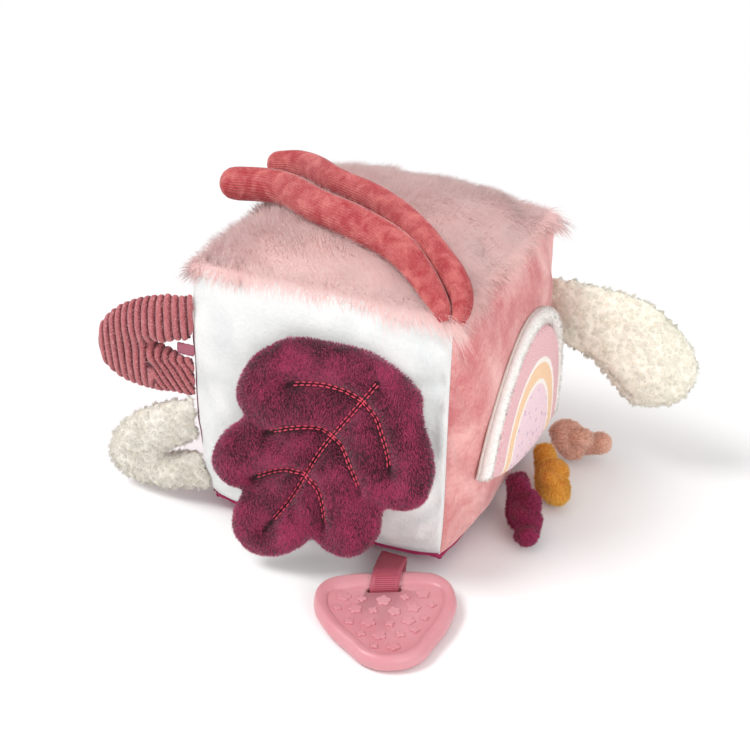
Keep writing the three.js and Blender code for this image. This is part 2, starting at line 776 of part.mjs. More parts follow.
function ear() {
  const share = (earCentreZ - blockMiddle) / (blockHeight / 2);
  const seam = blockPoint(1, 1, share);
  const slope = radians(earSlope);
  const widthAt = profile(earWidthShares);
  const thicknessAt = profile(earThicknessShares);
  const roundEnd = (out) => Math.sqrt(1 - Math.max(0, (out - earRoundShare) / (1 - earRoundShare)) ** 2);
  const rings = Array.from({ length: earSteps + 1 }, (_, k) => {
    const along = k / earSteps;
    const out = Math.sin((along * Math.PI) / 2) ** earReachShare;
    const bend = slope * Math.min(1, along * 2);
    const reach = earLength * out;
    const centre = point(seam.x + 2 * softGap + reach * Math.cos(slope), seam.y, earCentreZ - reach * Math.sin(bend));
    return Array.from({ length: earSides }, (_, i) => {
      const turn = (2 * Math.PI * i) / earSides;
      const rise = earWidth * widthAt(out) * roundEnd(out) * Math.cos(turn);
      return point(
        centre.x + rise * Math.sin(bend),
        centre.y + earThickness * thicknessAt(out) * roundEnd(out) * Math.sin(turn),
        centre.z + rise * Math.cos(bend),
      );
    });
  });
  return mesh("sherpa_ear", loft(rings), finish(colours.cream));
}

// The teether's outline: a triangle with round corners and full sides
const teetherShares = [
  [0.5, 0],
  [0.85, 0.07],
  [1, 0.3],
  [0.9, 0.52],
  [0.62, 0.77],
  [0.34, 0.95],
];

function teetherOutline() {
  const place = ([x, y]) => point(x * teetherHalfWidth, teetherSlotInset - y * teetherLength, 0);
  const right = teetherShares.map(place);
  const left = teetherShares.map(([x, y]) => place([-x, y])).reverse();
  const corners = [place([0, 0]), ...right, place([0, 1]), ...left];
  const curve = new THREE.CatmullRomCurve3(corners, true, "centripetal");
  return curve.getPoints(corners.length * teetherCornerSteps).slice(0, -1);
}

function solidOf(wasm, geometry) {
  const bare = new THREE.BufferGeometry();
  bare.setAttribute("position", geometry.getAttribute("position"));
  if (geometry.getIndex()) {
    bare.setIndex(geometry.getIndex());
  }
  const merged = mergeVertices(bare, weldDistance);
  const vertProperties = new Float32Array(merged.getAttribute("position").array);
  const triVerts = new Uint32Array(merged.getIndex().array);
  return new wasm.Manifold(new wasm.Mesh({ numProp: 3, vertProperties, triVerts }));
}

function geometryOf(body) {
  const result = body.getMesh();
  const geometry = new THREE.BufferGeometry();
  geometry.setAttribute("position", new THREE.Float32BufferAttribute(result.vertProperties, result.numProp));
  geometry.setIndex(Array.from(result.triVerts));
  geometry.computeVertexNormals();
  return geometry;
}

// Blossoms over the teether's floor: place across as a share of its half width, place along it
// as a share of its length, size as a share of the largest blossom, and petals
const blossomShares = [
  [-0.58, 0.26, 1, 5],
  [-0.33, 0.295, 0.65, 4],
  [-0.03, 0.325, 1, 5],
  [0.275, 0.295, 0.65, 4],
  [0.535, 0.265, 0.94, 5],
  [-0.68, 0.385, 0.59, 4],
  [-0.435, 0.405, 0.94, 5],
  [-0.19, 0.43, 0.65, 4],
  [0.1, 0.45, 0.88, 5],
  [0.375, 0.415, 0.97, 5],
  [0.635, 0.39, 0.65, 4],
  [-0.535, 0.54, 0.68, 4],
  [-0.275, 0.555, 1, 5],
  [0.015, 0.58, 0.65, 4],
  [0.275, 0.555, 0.94, 5],
  [0.505, 0.535, 0.59, 4],
  [-0.39, 0.675, 0.65, 4],
  [-0.145, 0.7, 0.94, 5],
  [0.145, 0.7, 0.7, 4],
  [0.35, 0.66, 0.65, 4],
  [-0.23, 0.81, 0.59, 4],
  [0.03, 0.825, 0.88, 5],
];
const petalShares = [0.8, 0.2];

function blossomShape(radius, petals) {
  const outline = Array.from({ length: blossomSides }, (_, i) => {
    const angle = (2 * Math.PI * i) / blossomSides;
    const reach = radius * (petalShares[0] + petalShares[1] * Math.cos(petals * angle));
    return new THREE.Vector2(reach * Math.cos(angle), reach * Math.sin(angle));
  });
  return new THREE.Shape(outline);
}

function teetherGeometry(wasm) {
  const outline = teetherOutline();
  const centre = point(0, teetherSlotInset - teetherLength / 2, 0);
  const inset = (distance, z) => outline.map((rim, i) => {
    const before = outline[(i + outline.length - 1) % outline.length];
    const after = outline[(i + 1) % outline.length];
    const along = after.clone().sub(before).normalize();
    const inwards = along.clone().cross(upAxis).negate();
    if (inwards.dot(centre.clone().sub(rim)) < 0) {
      inwards.negate();
    }
    const atBar = 1 + teetherBarShare * smooth(rim.y, 0, teetherSlotInset);
    return rim.clone().addScaledVector(inwards, distance * atBar).setZ(z);
  });
  const top = teetherFloor / 2;
  const high = teetherThickness / 2;
  const rim = Array.from({ length: teetherBeadSteps + 1 }, (_, k) => {
    const angle = (Math.PI * k) / teetherBeadSteps - Math.PI / 2;
    return inset((teetherBead / 2) * (1 - Math.cos(angle)), high * Math.sin(angle));
  });
  const fall = (sign) => {
    const steps = Array.from({ length: teetherBeadSteps / 2 }, (_, k) => {
      const angle = (Math.PI * (k + 1)) / teetherBeadSteps;
      return inset((teetherBead / 2) * (1 + Math.sin(angle)), sign * lerp(top, high, Math.cos(angle)));
    });
    return [...steps, outline.map(() => point(0, centre.y, sign * top))];
  };
  const rings = [...fall(-1).reverse(), ...rim, ...fall(1)];
  let body = solidOf(wasm, loft(rings));
  const slot = new THREE.Shape();
  const slotHalf = (teetherSlotLength - teetherSlotWidth) / 2;
  slot.absarc(slotHalf, 0, teetherSlotWidth / 2, -Math.PI / 2, Math.PI / 2);
  slot.absarc(-slotHalf, 0, teetherSlotWidth / 2, Math.PI / 2, (3 * Math.PI) / 2);
  const cutDepth = teetherThickness + 2 * cutOverrun;
  const cutter = new THREE.ExtrudeGeometry(slot, { depth: cutDepth, bevelEnabled: false, curveSegments: slotSteps });
  cutter.translate(0, 0, -cutDepth / 2);
  body = body.subtract(solidOf(wasm, cutter));
  for (const [across, along, size, petals] of blossomShares) {
    const shape = blossomShape(size * blossomRadius, petals);
    const blossom = new THREE.ExtrudeGeometry(shape, { depth: blossomHeight + top, bevelEnabled: false });
    blossom.translate(across * teetherHalfWidth, teetherSlotInset - along * teetherLength, 0);
    body = body.add(solidOf(wasm, blossom));
  }
  return geometryOf(body);
}

// The middle of the teether's slot, out from the front bottom seam
function slotPlace() {
  const x = (ribbonSeamShare * blockWidth) / 2 + teetherShift;
  return point(x, -blockDepth / 2 - teetherAway, 0);
}

function teether(wasm) {
  const piece = mesh("teether", teetherGeometry(wasm), finish(colours.silicone, 0.45));
  piece.position.copy(slotPlace()).setZ(teetherRise);
  piece.rotation.set(radians(teetherTilt), 0, radians(teetherTurn), "ZYX");
  return piece;
}

// The ribbon: from the seam over the teether's bar, down its slot and back underneath
function ribbon() {
  const seam = blockPoint(ribbonSeamShare, -1, -1);
  const start = point(seam.x, seam.y - softGap - ribbonRise, 0);
  const slot = slotPlace();
  const reach = start.distanceTo(slot);
  const barTop = teetherRise + teetherThickness / 2 + softGap + ribbonThickness;
  const low = ribbonThickness / 2 + softGap;
  const under = teetherRise - teetherFloor / 2 - softGap - ribbonThickness;
  const stops = [
    [0, seam.z + ribbonRise],
    [reach - teetherSlotInset - ribbonThickness, barTop],
    [reach - teetherSlotInset + teetherBead / 2, barTop + ribbonThickness / 2],
    [reach - teetherBead / 2, barTop - ribbonThickness],
    [reach, teetherRise],
    [reach - ribbonThickness, under],
    [reach - teetherBead / 2, low],
    [reach - teetherSlotInset, low],
    [reach / 3, low + ribbonThickness],
    [0, seam.z - ribbonRise],
  ];
  const line = stops.map(([along, z]) => start.clone().lerp(slot, along / reach).setZ(z));
  const curve = new THREE.CatmullRomCurve3(line, false, "centripetal");
  const rings = Array.from({ length: ribbonSteps + 1 }, (_, k) => {
    const centre = curve.getPointAt(k / ribbonSteps);
    const tangent = curve.getTangentAt(k / ribbonSteps);
    const near = start.distanceTo(centre.clone().setZ(0)) / reach;
    const turn = radians(teetherTurn) * Math.min(1, near);
    const across = point(Math.cos(turn), Math.sin(turn), 0).multiplyScalar(ribbonWidth / 2);
    const over = across.clone().cross(tangent).setLength(ribbonThickness / 2);
    return [[1, 1], [-1, 1], [-1, -1], [1, -1]].map(([side, face]) => {
      return centre.clone().addScaledVector(across, side).addScaledVector(over, face);
    });
  });
  return mesh("ribbon", loft(rings), finish(colours.ribbon, 0.6));
}

const wasm = await Module();
wasm.setup();

const block = new THREE.Group();
block.add(...panels());
block.add(stuffing("stuffing_upper", 1), stuffing("stuffing_lower", -1));
block.add(rattleCap("rattle_cap_upper", 1), rattleCap("rattle_cap_lower", -1), rattleBall());
block.add(leaf());
block.add(...arch());
block.add(...knottedTubes());
block.add(...Object.keys(topTubeShares).map(topTube));
block.add(...handles(), seamTab());
block.add(ear());
block.add(teether(wasm), ribbon());

export default block;
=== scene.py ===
"""Dresses the frame of a soft activity block for a baby.

Every piece is made in metres where the frame says, rides on a body of the frame and gets a
procedural material. Run as a script, it makes the whole toy, its stage and its camera.
"""

import json
import math

import bmesh
import bpy
from bpy.props import FloatProperty, FloatVectorProperty, IntProperty, PointerProperty
from mathutils import Matrix, Vector, noise
from mathutils.bvhtree import BVHTree


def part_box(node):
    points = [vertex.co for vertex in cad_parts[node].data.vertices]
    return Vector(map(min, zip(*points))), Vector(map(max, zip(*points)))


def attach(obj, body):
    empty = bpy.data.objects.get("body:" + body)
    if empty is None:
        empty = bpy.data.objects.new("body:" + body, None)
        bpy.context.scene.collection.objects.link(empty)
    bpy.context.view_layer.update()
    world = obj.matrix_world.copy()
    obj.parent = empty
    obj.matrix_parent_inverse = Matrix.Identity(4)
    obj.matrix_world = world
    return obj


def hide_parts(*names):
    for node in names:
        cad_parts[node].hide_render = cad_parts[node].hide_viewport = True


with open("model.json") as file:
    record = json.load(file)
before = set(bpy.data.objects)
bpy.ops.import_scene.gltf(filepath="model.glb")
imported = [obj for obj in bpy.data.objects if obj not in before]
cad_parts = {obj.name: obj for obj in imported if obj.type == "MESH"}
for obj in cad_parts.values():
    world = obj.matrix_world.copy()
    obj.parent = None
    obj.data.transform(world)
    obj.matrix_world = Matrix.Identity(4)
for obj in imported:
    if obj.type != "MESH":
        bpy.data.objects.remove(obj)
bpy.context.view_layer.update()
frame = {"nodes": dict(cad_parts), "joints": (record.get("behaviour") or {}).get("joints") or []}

bl_info = {
    "name": "Soft activity block",
    "version": (1, 0, 0),
    "blender": (4, 5, 0),
    "location": "3D view > Sidebar > Soft block",
    "description": "Sews the fur, velour, plush, corduroy and sherpa of a soft activity block",
    "category": "Add Mesh",
}

MM = 0.001
BAKE_UV = "OFBake"


def tone(red, green, blue):
    """A linear colour from the 0 to 255 that a screen shows."""
    return tuple(((level / 255 + 0.055) / 1.055) ** 2.4 for level in (red, green, blue))


def length(name, description, default):
    """A size property, with its default given in millimetres."""
    return FloatProperty(
        name=name, description=description, default=default * MM, unit="LENGTH", precision=4
    )


def angle(name, description, degrees):
    """An angle property, with its default given in degrees."""
    return FloatProperty(
        name=name, description=description, default=math.radians(degrees), unit="ROTATION"
    )


def colour(name, description, default):
    """A colour property."""
    return FloatVectorProperty(
        name=name, description=description, default=default, subtype="COLOR", size=3, min=0, max=1
    )


def count(name, description, default):
    """A whole-number property."""
    return IntProperty(name=name, description=description, default=default, min=1)


# Settings that a user would change


class SOFTBLOCK_PG_cover(bpy.types.PropertyGroup):
    """The six sewn panels of the cube."""

    white: colour("White velour", "Front panel", tone(232, 232, 230))
    rose: colour("Rose velour", "Right panel", tone(204, 122, 124))
    burgundy: colour("Burgundy velour", "Left panel and underside", tone(142, 28, 74))
    dusty: colour("Dusty velour", "Rear panel", tone(206, 158, 150))
    seam_depth: length("Seam depth", "How far the seams are drawn in", 1.8)
    seam_width: length("Seam width", "How far from a seam its valley reaches", 2.6)
    pucker: length("Pucker", "Height of the small folds along the seams", 0.5)
    thickness: length("Thickness", "Thickness of a panel with its backing", 2.0)


class SOFTBLOCK_PG_fur(bpy.types.PropertyGroup):
    """The long pile of the top panel."""

    # The root colour, darker than the tip, is a painted shade of the fur's depth.
    root: colour("Root", "Colour at the root of the fur", tone(240, 174, 172))
    tip: colour("Tip", "Colour at the tip of the fur", tone(250, 218, 214))
    hair: length("Hair", "Length of the fur", 10.5)
    hang: length("Hang", "How far the fur hangs over the seams", 8.5)
    width: length("Width", "Width of a lock of fur", 0.27)
    locks: count("Locks", "How many locks of fur grow on the panel", 84000)


class SOFTBLOCK_PG_leaf(bpy.types.PropertyGroup):
    """The quilted plush leaf."""

    # The near-black root colour is painted shade in the gaps of the pile; the tip is the pile's pink,
    # lightened as a painted highlight.
    root: colour("Root", "Colour at the root of the pile", tone(48, 4, 22))
    tip: colour("Tip", "Colour at the tip of the pile", tone(196, 66, 112))
    stitch: colour("Stitch", "Red thread along the veins", tone(244, 64, 98))
    hair: length("Hair", "Length of the pile", 1.5)
    locks: count("Locks", "How many locks of pile grow on the leaf", 125000)
    channel: length("Channel", "Depth of the stitched vein channels", 3.2)
    channel_width: length("Channel width", "How wide a vein channel is", 2.6)
    row_gap: length("Row gap", "Distance between the two rows of stitches on a vein", 1.5)


class SOFTBLOCK_PG_arch(bpy.types.PropertyGroup):
    """The arch patch on the right panel."""

    half_width: length("Half width", "Half of the patch along its foot line", 59)
    rise: length("Rise", "Height of the patch above its foot line", 75)
    sag: length("Sag", "How far the lower edge bulges below the foot line", 9)
    centre_y: length("Centre along Y", "Middle of the foot line", 6)
    centre_z: length("Centre height", "Middle of the foot line", 38)
    turn: angle("Turn", "How far the patch is turned", 11)
    border_width: length("Border", "Width of the terry band", 8)
    terry: colour("Terry", "Terry band", tone(254, 251, 247))
    pink: colour("Pink", "Outer printed band", tone(229, 172, 178))
    thin: colour("Thin", "Thin lines between the bands", tone(250, 240, 232))
    orange: colour("Orange", "Inner printed band", tone(246, 200, 150))
    middle: colour("Middle", "Middle of the print", tone(243, 208, 219))
    dots: colour("Dots", "Dots on the middle of the print", tone(205, 165, 196))


class SOFTBLOCK_PG_knots(bpy.types.PropertyGroup):
    """The three knotted tubes."""

    burgundy: colour("Burgundy", "Front knot", tone(150, 32, 76))
    mustard: colour("Mustard", "Middle knot", tone(250, 176, 66))
    dusty: colour("Dusty", "Rear knot", tone(244, 190, 168))
    hair: length("Hair", "Length of the pile", 2.0)
    locks: count("Locks", "How many locks of pile grow on one knot", 24000)


class SOFTBLOCK_PG_tubes(bpy.types.PropertyGroup):
    """The two stuffed tubes on the top."""

    # The tip colour is a painted sheen: the velour mixes it over the root colour in brushed patches by noise,
    # not by the ribs.
    root: colour("Root", "Colour between the ribs", tone(174, 62, 68))
    tip: colour("Tip", "Colour on the ribs", tone(232, 146, 140))
    ribs: count("Ribs", "Ribs round one tube", 38)
    rib_height: length("Rib height", "How high the ribs stand", 0.35)


class SOFTBLOCK_PG_loops(bpy.types.PropertyGroup):
    """The corduroy and sherpa handles and the seam tab."""

    corduroy: colour("Corduroy", "Top of the wales", tone(196, 110, 114))
    # The groove colour is a painted shade in the hollows between the wales.
    groove: colour("Groove", "Between the wales", tone(84, 26, 36))
    wale: length("Wale", "Distance from one wale to the next", 4.3)
    wale_height: length("Wale height", "How high the wales stand", 1.6)
    sherpa: colour("Sherpa", "Tips of the sherpa", tone(249, 246, 238))
    # The darker sherpa root colour is a painted shade of the wool's depth.
    sherpa_root: colour("Sherpa root", "Depth of the sherpa", tone(220, 212, 196))
    tab: colour("Tab", "Ribbon tab in the seam", tone(222, 120, 146))
    hair: length("Hair", "Length of the sherpa pile", 1.9)
    locks: count("Locks", "How many locks grow on the sherpa handle", 50000)


class SOFTBLOCK_PG_ear(bpy.types.PropertyGroup):
    """The stuffed ear."""

    cream: colour("Cream", "Tips of the sherpa", tone(255, 253, 243))
    # The darker root colour is a painted shade of the wool's depth.
    root: colour("Root", "Depth of the sherpa", tone(240, 233, 214))
    hair: length("Hair", "Length of the sherpa pile", 1.9)
    locks: count("Locks", "How many locks grow on the ear", 62000)


class SOFTBLOCK_PG_teether(bpy.types.PropertyGroup):
    """The silicone teether and its ribbon."""

    silicone: colour("Silicone", "Teether", tone(212, 140, 148))
    ribbon: colour("Ribbon", "Grosgrain ribbon", tone(178, 34, 70))
    half_width: length("Half width", "Half of the teether across", 34.5)
    length: length("Length", "Teether from its bar to its tip", 66.5)
    thickness: length("Thickness", "Height of the rounded rim", 8.5)
    floor: length("Floor", "Thickness of the recessed middle", 4)
    bead: length("Bead", "Width of the rounded rim", 6.5)
    slot_inset: length("Slot inset", "From the edge of the bar to the middle of the slot", 13)
    slot_length: length("Slot length", "Length of the ribbon slot", 17.5)
    slot_width: length("Slot width", "Width of the ribbon slot", 4.4)
    ribbon_width: length("Ribbon width", "Width of the ribbon", 14)
    ribbon_thickness: length("Ribbon thickness", "Thickness of the ribbon", 0.7)


class SOFTBLOCK_PG_stage(bpy.types.PropertyGroup):
    """Floor, lamps and camera."""

    floor: colour("Floor", "Floor and background", (1, 1, 1))
    lens: FloatProperty(name="Lens", description="Focal length on a 36 mm sensor", default=72)
    azimuth: angle("Azimuth", "Where the camera stands", 24.49)
    elevation: angle("Elevation", "How high the camera looks from", 29.14)
    roll: angle("Roll", "Roll of the camera", 0.62)
    distance: length("Distance", "From the camera to what it looks at", 802.9)


# Small tools for pieces


def from_bmesh(name, form):
    """A smooth-shaded object from a bmesh, which is freed."""
    mesh = bpy.data.meshes.new(name)
    form.to_mesh(mesh)
    form.free()
    mesh.shade_smooth()
    piece = bpy.data.objects.new(name, mesh)
    bpy.context.scene.collection.objects.link(piece)
    return piece


def copy_of(*nodes):
    """A bmesh of one or more nodes of the frame, with their loose corners joined."""
    form = bmesh.new()
    for node in nodes:
        form.from_mesh(frame["nodes"][node].data)
    bmesh.ops.remove_doubles(form, verts=form.verts, dist=0.01 * MM)
    return form


def surface_of(*nodes):
    """A tree that finds places on the surface of one or more nodes."""
    form = copy_of(*nodes)
    tree = BVHTree.FromBMesh(form)
    form.free()
    return tree


def settled(piece):
    """Applies a piece's modifiers."""
    graph = bpy.context.evaluated_depsgraph_get()
    mesh = bpy.data.meshes.new_from_object(piece.evaluated_get(graph), depsgraph=graph)
    old = piece.data
    piece.modifiers.clear()
    piece.data = mesh
    mesh.name = piece.name
    bpy.data.meshes.remove(old)
    mesh.shade_smooth()
    return piece


def modified(piece, kind, **settings):
    """Adds a modifier with its settings and applies it."""
    modifier = piece.modifiers.new(kind.lower(), kind)
    for name, value in settings.items():
        setattr(modifier, name, value)
    return settled(piece)


def subdivided(piece, levels):
    """Applies a subdivision surface."""
    return modified(piece, "SUBSURF", levels=levels, render_levels=levels)


def remeshed(piece, cell):
    """Turns a piece into an even skin of square cells."""
    return modified(piece, "REMESH", mode="VOXEL", voxel_size=cell)


def walled(piece, thickness):
    """Gives an open sheet a wall on its inner side."""
    return modified(piece, "SOLIDIFY", thickness=thickness, offset=-1, use_even_offset=False)


def smoothed(form, factor):
    """Moves every point of a bmesh towards its neighbours."""
    axes = {"use_axis_x": True, "use_axis_y": True, "use_axis_z": True}
    bmesh.ops.smooth_vert(form, verts=form.verts, factor=factor, **axes)


def relaxed(piece, passes, factor=0.5):
    """Smooths a piece."""
    form = bmesh.new()
    form.from_mesh(piece.data)
    for _ in range(passes):
        smoothed(form, factor)
    form.to_mesh(piece.data)
    form.free()
    return piece


def limited(value, low, high):
    """A value kept between two others."""
    return max(low, min(high, value))


def eased(share, low, high):
    """A smooth rise from 0 at low to 1 at high."""
    part = limited((share - low) / (high - low), 0, 1)
    return part * part * (3 - 2 * part)


SIM_FRAMES = 20


def puffed(piece, pressure, growth, outward, inward, sideways, pins=None, freedom=None):
    """Fills a closed piece with a short cloth simulation, and keeps each point near its place.

    Freedom holds, for each point, the share of the movement that it may make.
    """
    mesh = piece.data
    places = [vert.co.copy() for vert in mesh.vertices]
    normals = [vert.normal.copy() for vert in mesh.vertices]
    cloth = piece.modifiers.new("cloth", "CLOTH")
    cloth.settings.quality = 5
    cloth.settings.mass = 0.15
    cloth.settings.use_pressure = True
    cloth.settings.uniform_pressure_force = pressure
    cloth.settings.shrink_min = -growth
    cloth.settings.effector_weights.gravity = 0
    cloth.settings.bending_stiffness = 0.2
    cloth.collision_settings.use_collision = False
    if pins:
        group = piece.vertex_groups.new(name="pins")
        group.add(pins, 1.0, "REPLACE")
        cloth.settings.vertex_group_mass = group.name
    cloth.point_cache.frame_end = SIM_FRAMES
    for step in range(1, SIM_FRAMES + 1):
        bpy.context.scene.frame_set(step)
    graph = bpy.context.evaluated_depsgraph_get()
    moved = [vert.co.copy() for vert in piece.evaluated_get(graph).data.vertices]
    piece.modifiers.clear()
    piece.vertex_groups.clear()
    bpy.context.scene.frame_set(1)
    shares = freedom or [1] * len(moved)
    for vert, place, normal, now, share in zip(mesh.vertices, places, normals, moved, shares):
        move = (now - place) * share
        if not math.isfinite(move.length):
            continue
        out = move.dot(normal)
        along = move - normal * out
        along = along * min(1, sideways / max(along.length, sideways))
        vert.co = place + along + normal * limited(out, -inward, outward)
    return piece


def spot_values(piece, name, values):
    """Stores one number for each point of a piece."""
    layer = piece.data.attributes.get(name) or piece.data.attributes.new(name, "FLOAT", "POINT")
    layer.data.foreach_set("value", values)


def spot_vectors(piece, name, vectors):
    """Stores one vector for each point of a piece."""
    layer = piece.data.attributes.get(name) or piece.data.attributes.new(name, "FLOAT_VECTOR", "POINT")
    layer.data.foreach_set("vector", [part for vector in vectors for part in vector])


def unwrapped(piece):
    """Gives a piece a flat map of its surface."""
    mesh = piece.data
    mesh.uv_layers.active = mesh.uv_layers.new(name=BAKE_UV)
    bpy.ops.object.select_all(action="DESELECT")
    bpy.context.view_layer.objects.active = piece
    piece.select_set(True)
    bpy.ops.object.mode_set(mode="EDIT")
    bpy.ops.mesh.select_all(action="SELECT")
    bpy.ops.uv.smart_project(angle_limit=1.15, island_margin=0.004)
    bpy.ops.object.mode_set(mode="OBJECT")
    piece.select_set(False)
    return piece


def dressed(piece, material, body, *nodes, slot=None, fill=None):
    """Gives a piece its material and its body, and hides the nodes that it stands for. The slot is not used.
    """
    piece.data.materials.clear()
    piece.data.materials.append(material)
    for face in piece.data.polygons:
        face.material_index = 0
    if nodes:
        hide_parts(*nodes)
    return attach(piece, body)


# Pile: blades that a node group grows on a piece


def blade(name, steps):
    """A flat tapered blade of pile, one unit long and one wide, with its height stored on it."""
    found = bpy.data.objects.get(name)
    if found:
        return found
    form = bmesh.new()
    bmesh.ops.create_grid(form, x_segments=1, y_segments=steps, size=0.5)
    height = form.verts.layers.float.new("along")
    for vert in form.verts:
        share = vert.co.y + 0.5
        vert[height] = share
        vert.co = Vector((vert.co.x * (1 - share**2), 0, share))
    bmesh.ops.remove_doubles(form, verts=form.verts, dist=0.01)
    piece = from_bmesh(name, form)
    piece.hide_render = True
    piece.hide_viewport = True
    return piece


class Tree:
    """Adds nodes to a tree and links them."""

    def __init__(self, tree):
        self.tree = tree

    def add(self, kind, settings=None, **inputs):
        """A new node; an input is a value, or a socket to link from."""
        node = self.tree.nodes.new(kind)
        for key, value in (settings or {}).items():
            setattr(node, key, value)
        for name, value in inputs.items():
            self.feed(node.inputs[name.replace("_", " ")], value)
        return node

    def feed(self, socket, value):
        """Links or sets one input."""
        if isinstance(value, bpy.types.NodeSocket):
            self.tree.links.new(value, socket)
        else:
            socket.default_value = value

    def math(self, operation, *values):
        """The result of a Math node."""
        node = self.tree.nodes.new("ShaderNodeMath")
        node.operation = operation
        for socket, value in zip(node.inputs, values):
            self.feed(socket, value)
        return node.outputs[0]

    def vector(self, operation, *values, result="Vector"):
        """The result of a Vector Math node that takes vectors."""
        node = self.tree.nodes.new("ShaderNodeVectorMath")
        node.operation = operation
        for socket, value in zip(node.inputs, values):
            self.feed(socket, value)
        return node.outputs[result]

    def scaled(self, vector, factor):
        """A vector times a number."""
        node = self.tree.nodes.new("ShaderNodeVectorMath")
        node.operation = "SCALE"
        self.feed(node.inputs[0], vector)
        self.feed(node.inputs["Scale"], factor)
        return node.outputs[0]

    def mix(self, factor, first, second, blend="MIX"):
        """Two colours mixed."""
        node = self.tree.nodes.new("ShaderNodeMix")
        node.data_type = "RGBA"
        node.blend_type = blend
        self.feed(node.inputs[0], factor)
        self.feed(node.inputs[6], first)
        self.feed(node.inputs[7], second)
        return node.outputs[2]

    def mix_shaders(self, factor, first, second):
        """Two shaders mixed."""
        node = self.tree.nodes.new("ShaderNodeMixShader")
        self.feed(node.inputs[0], factor)
        self.feed(node.inputs[1], first)
        self.feed(node.inputs[2], second)
        return node.outputs[0]

    def ramp(self, value, low, high):
        """A value stretched so that low becomes 0 and high becomes 1."""
        node = self.tree.nodes.new("ShaderNodeMapRange")
        self.feed(node.inputs["Value"], value)
        self.feed(node.inputs["From Min"], low)
        self.feed(node.inputs["From Max"], high)
        return node.outputs[0]

    def around(self, value, factor):
        """How far a value lies from one half, times a factor."""
        return self.math("MULTIPLY", self.math("SUBTRACT", value, 0.5), factor)

    def noise(self, scale, detail, **inputs):
        """Noise in the piece's own coordinates."""
        own = self.add("ShaderNodeTexCoord").outputs["Object"]
        node = self.add("ShaderNodeTexNoise", Vector=own, Scale=scale, Detail=detail, **inputs)
        return node.outputs["Fac"]

    def stored(self, name, result="Fac"):
        """What is stored on a piece under a name."""
        return self.add("ShaderNodeAttribute", {"attribute_name": name}).outputs[result]

    def bump(self, height, strength, distance):
        """A normal that follows a height."""
        node = self.add("ShaderNodeBump", Height=height, Strength=strength, Distance=distance)
        return node.outputs[0]

    def finish(self, shader, **inputs):
        """Links or sets the inputs of a shader."""
        for name, value in inputs.items():
            self.feed(shader.inputs[name.replace("_", " ")], value)


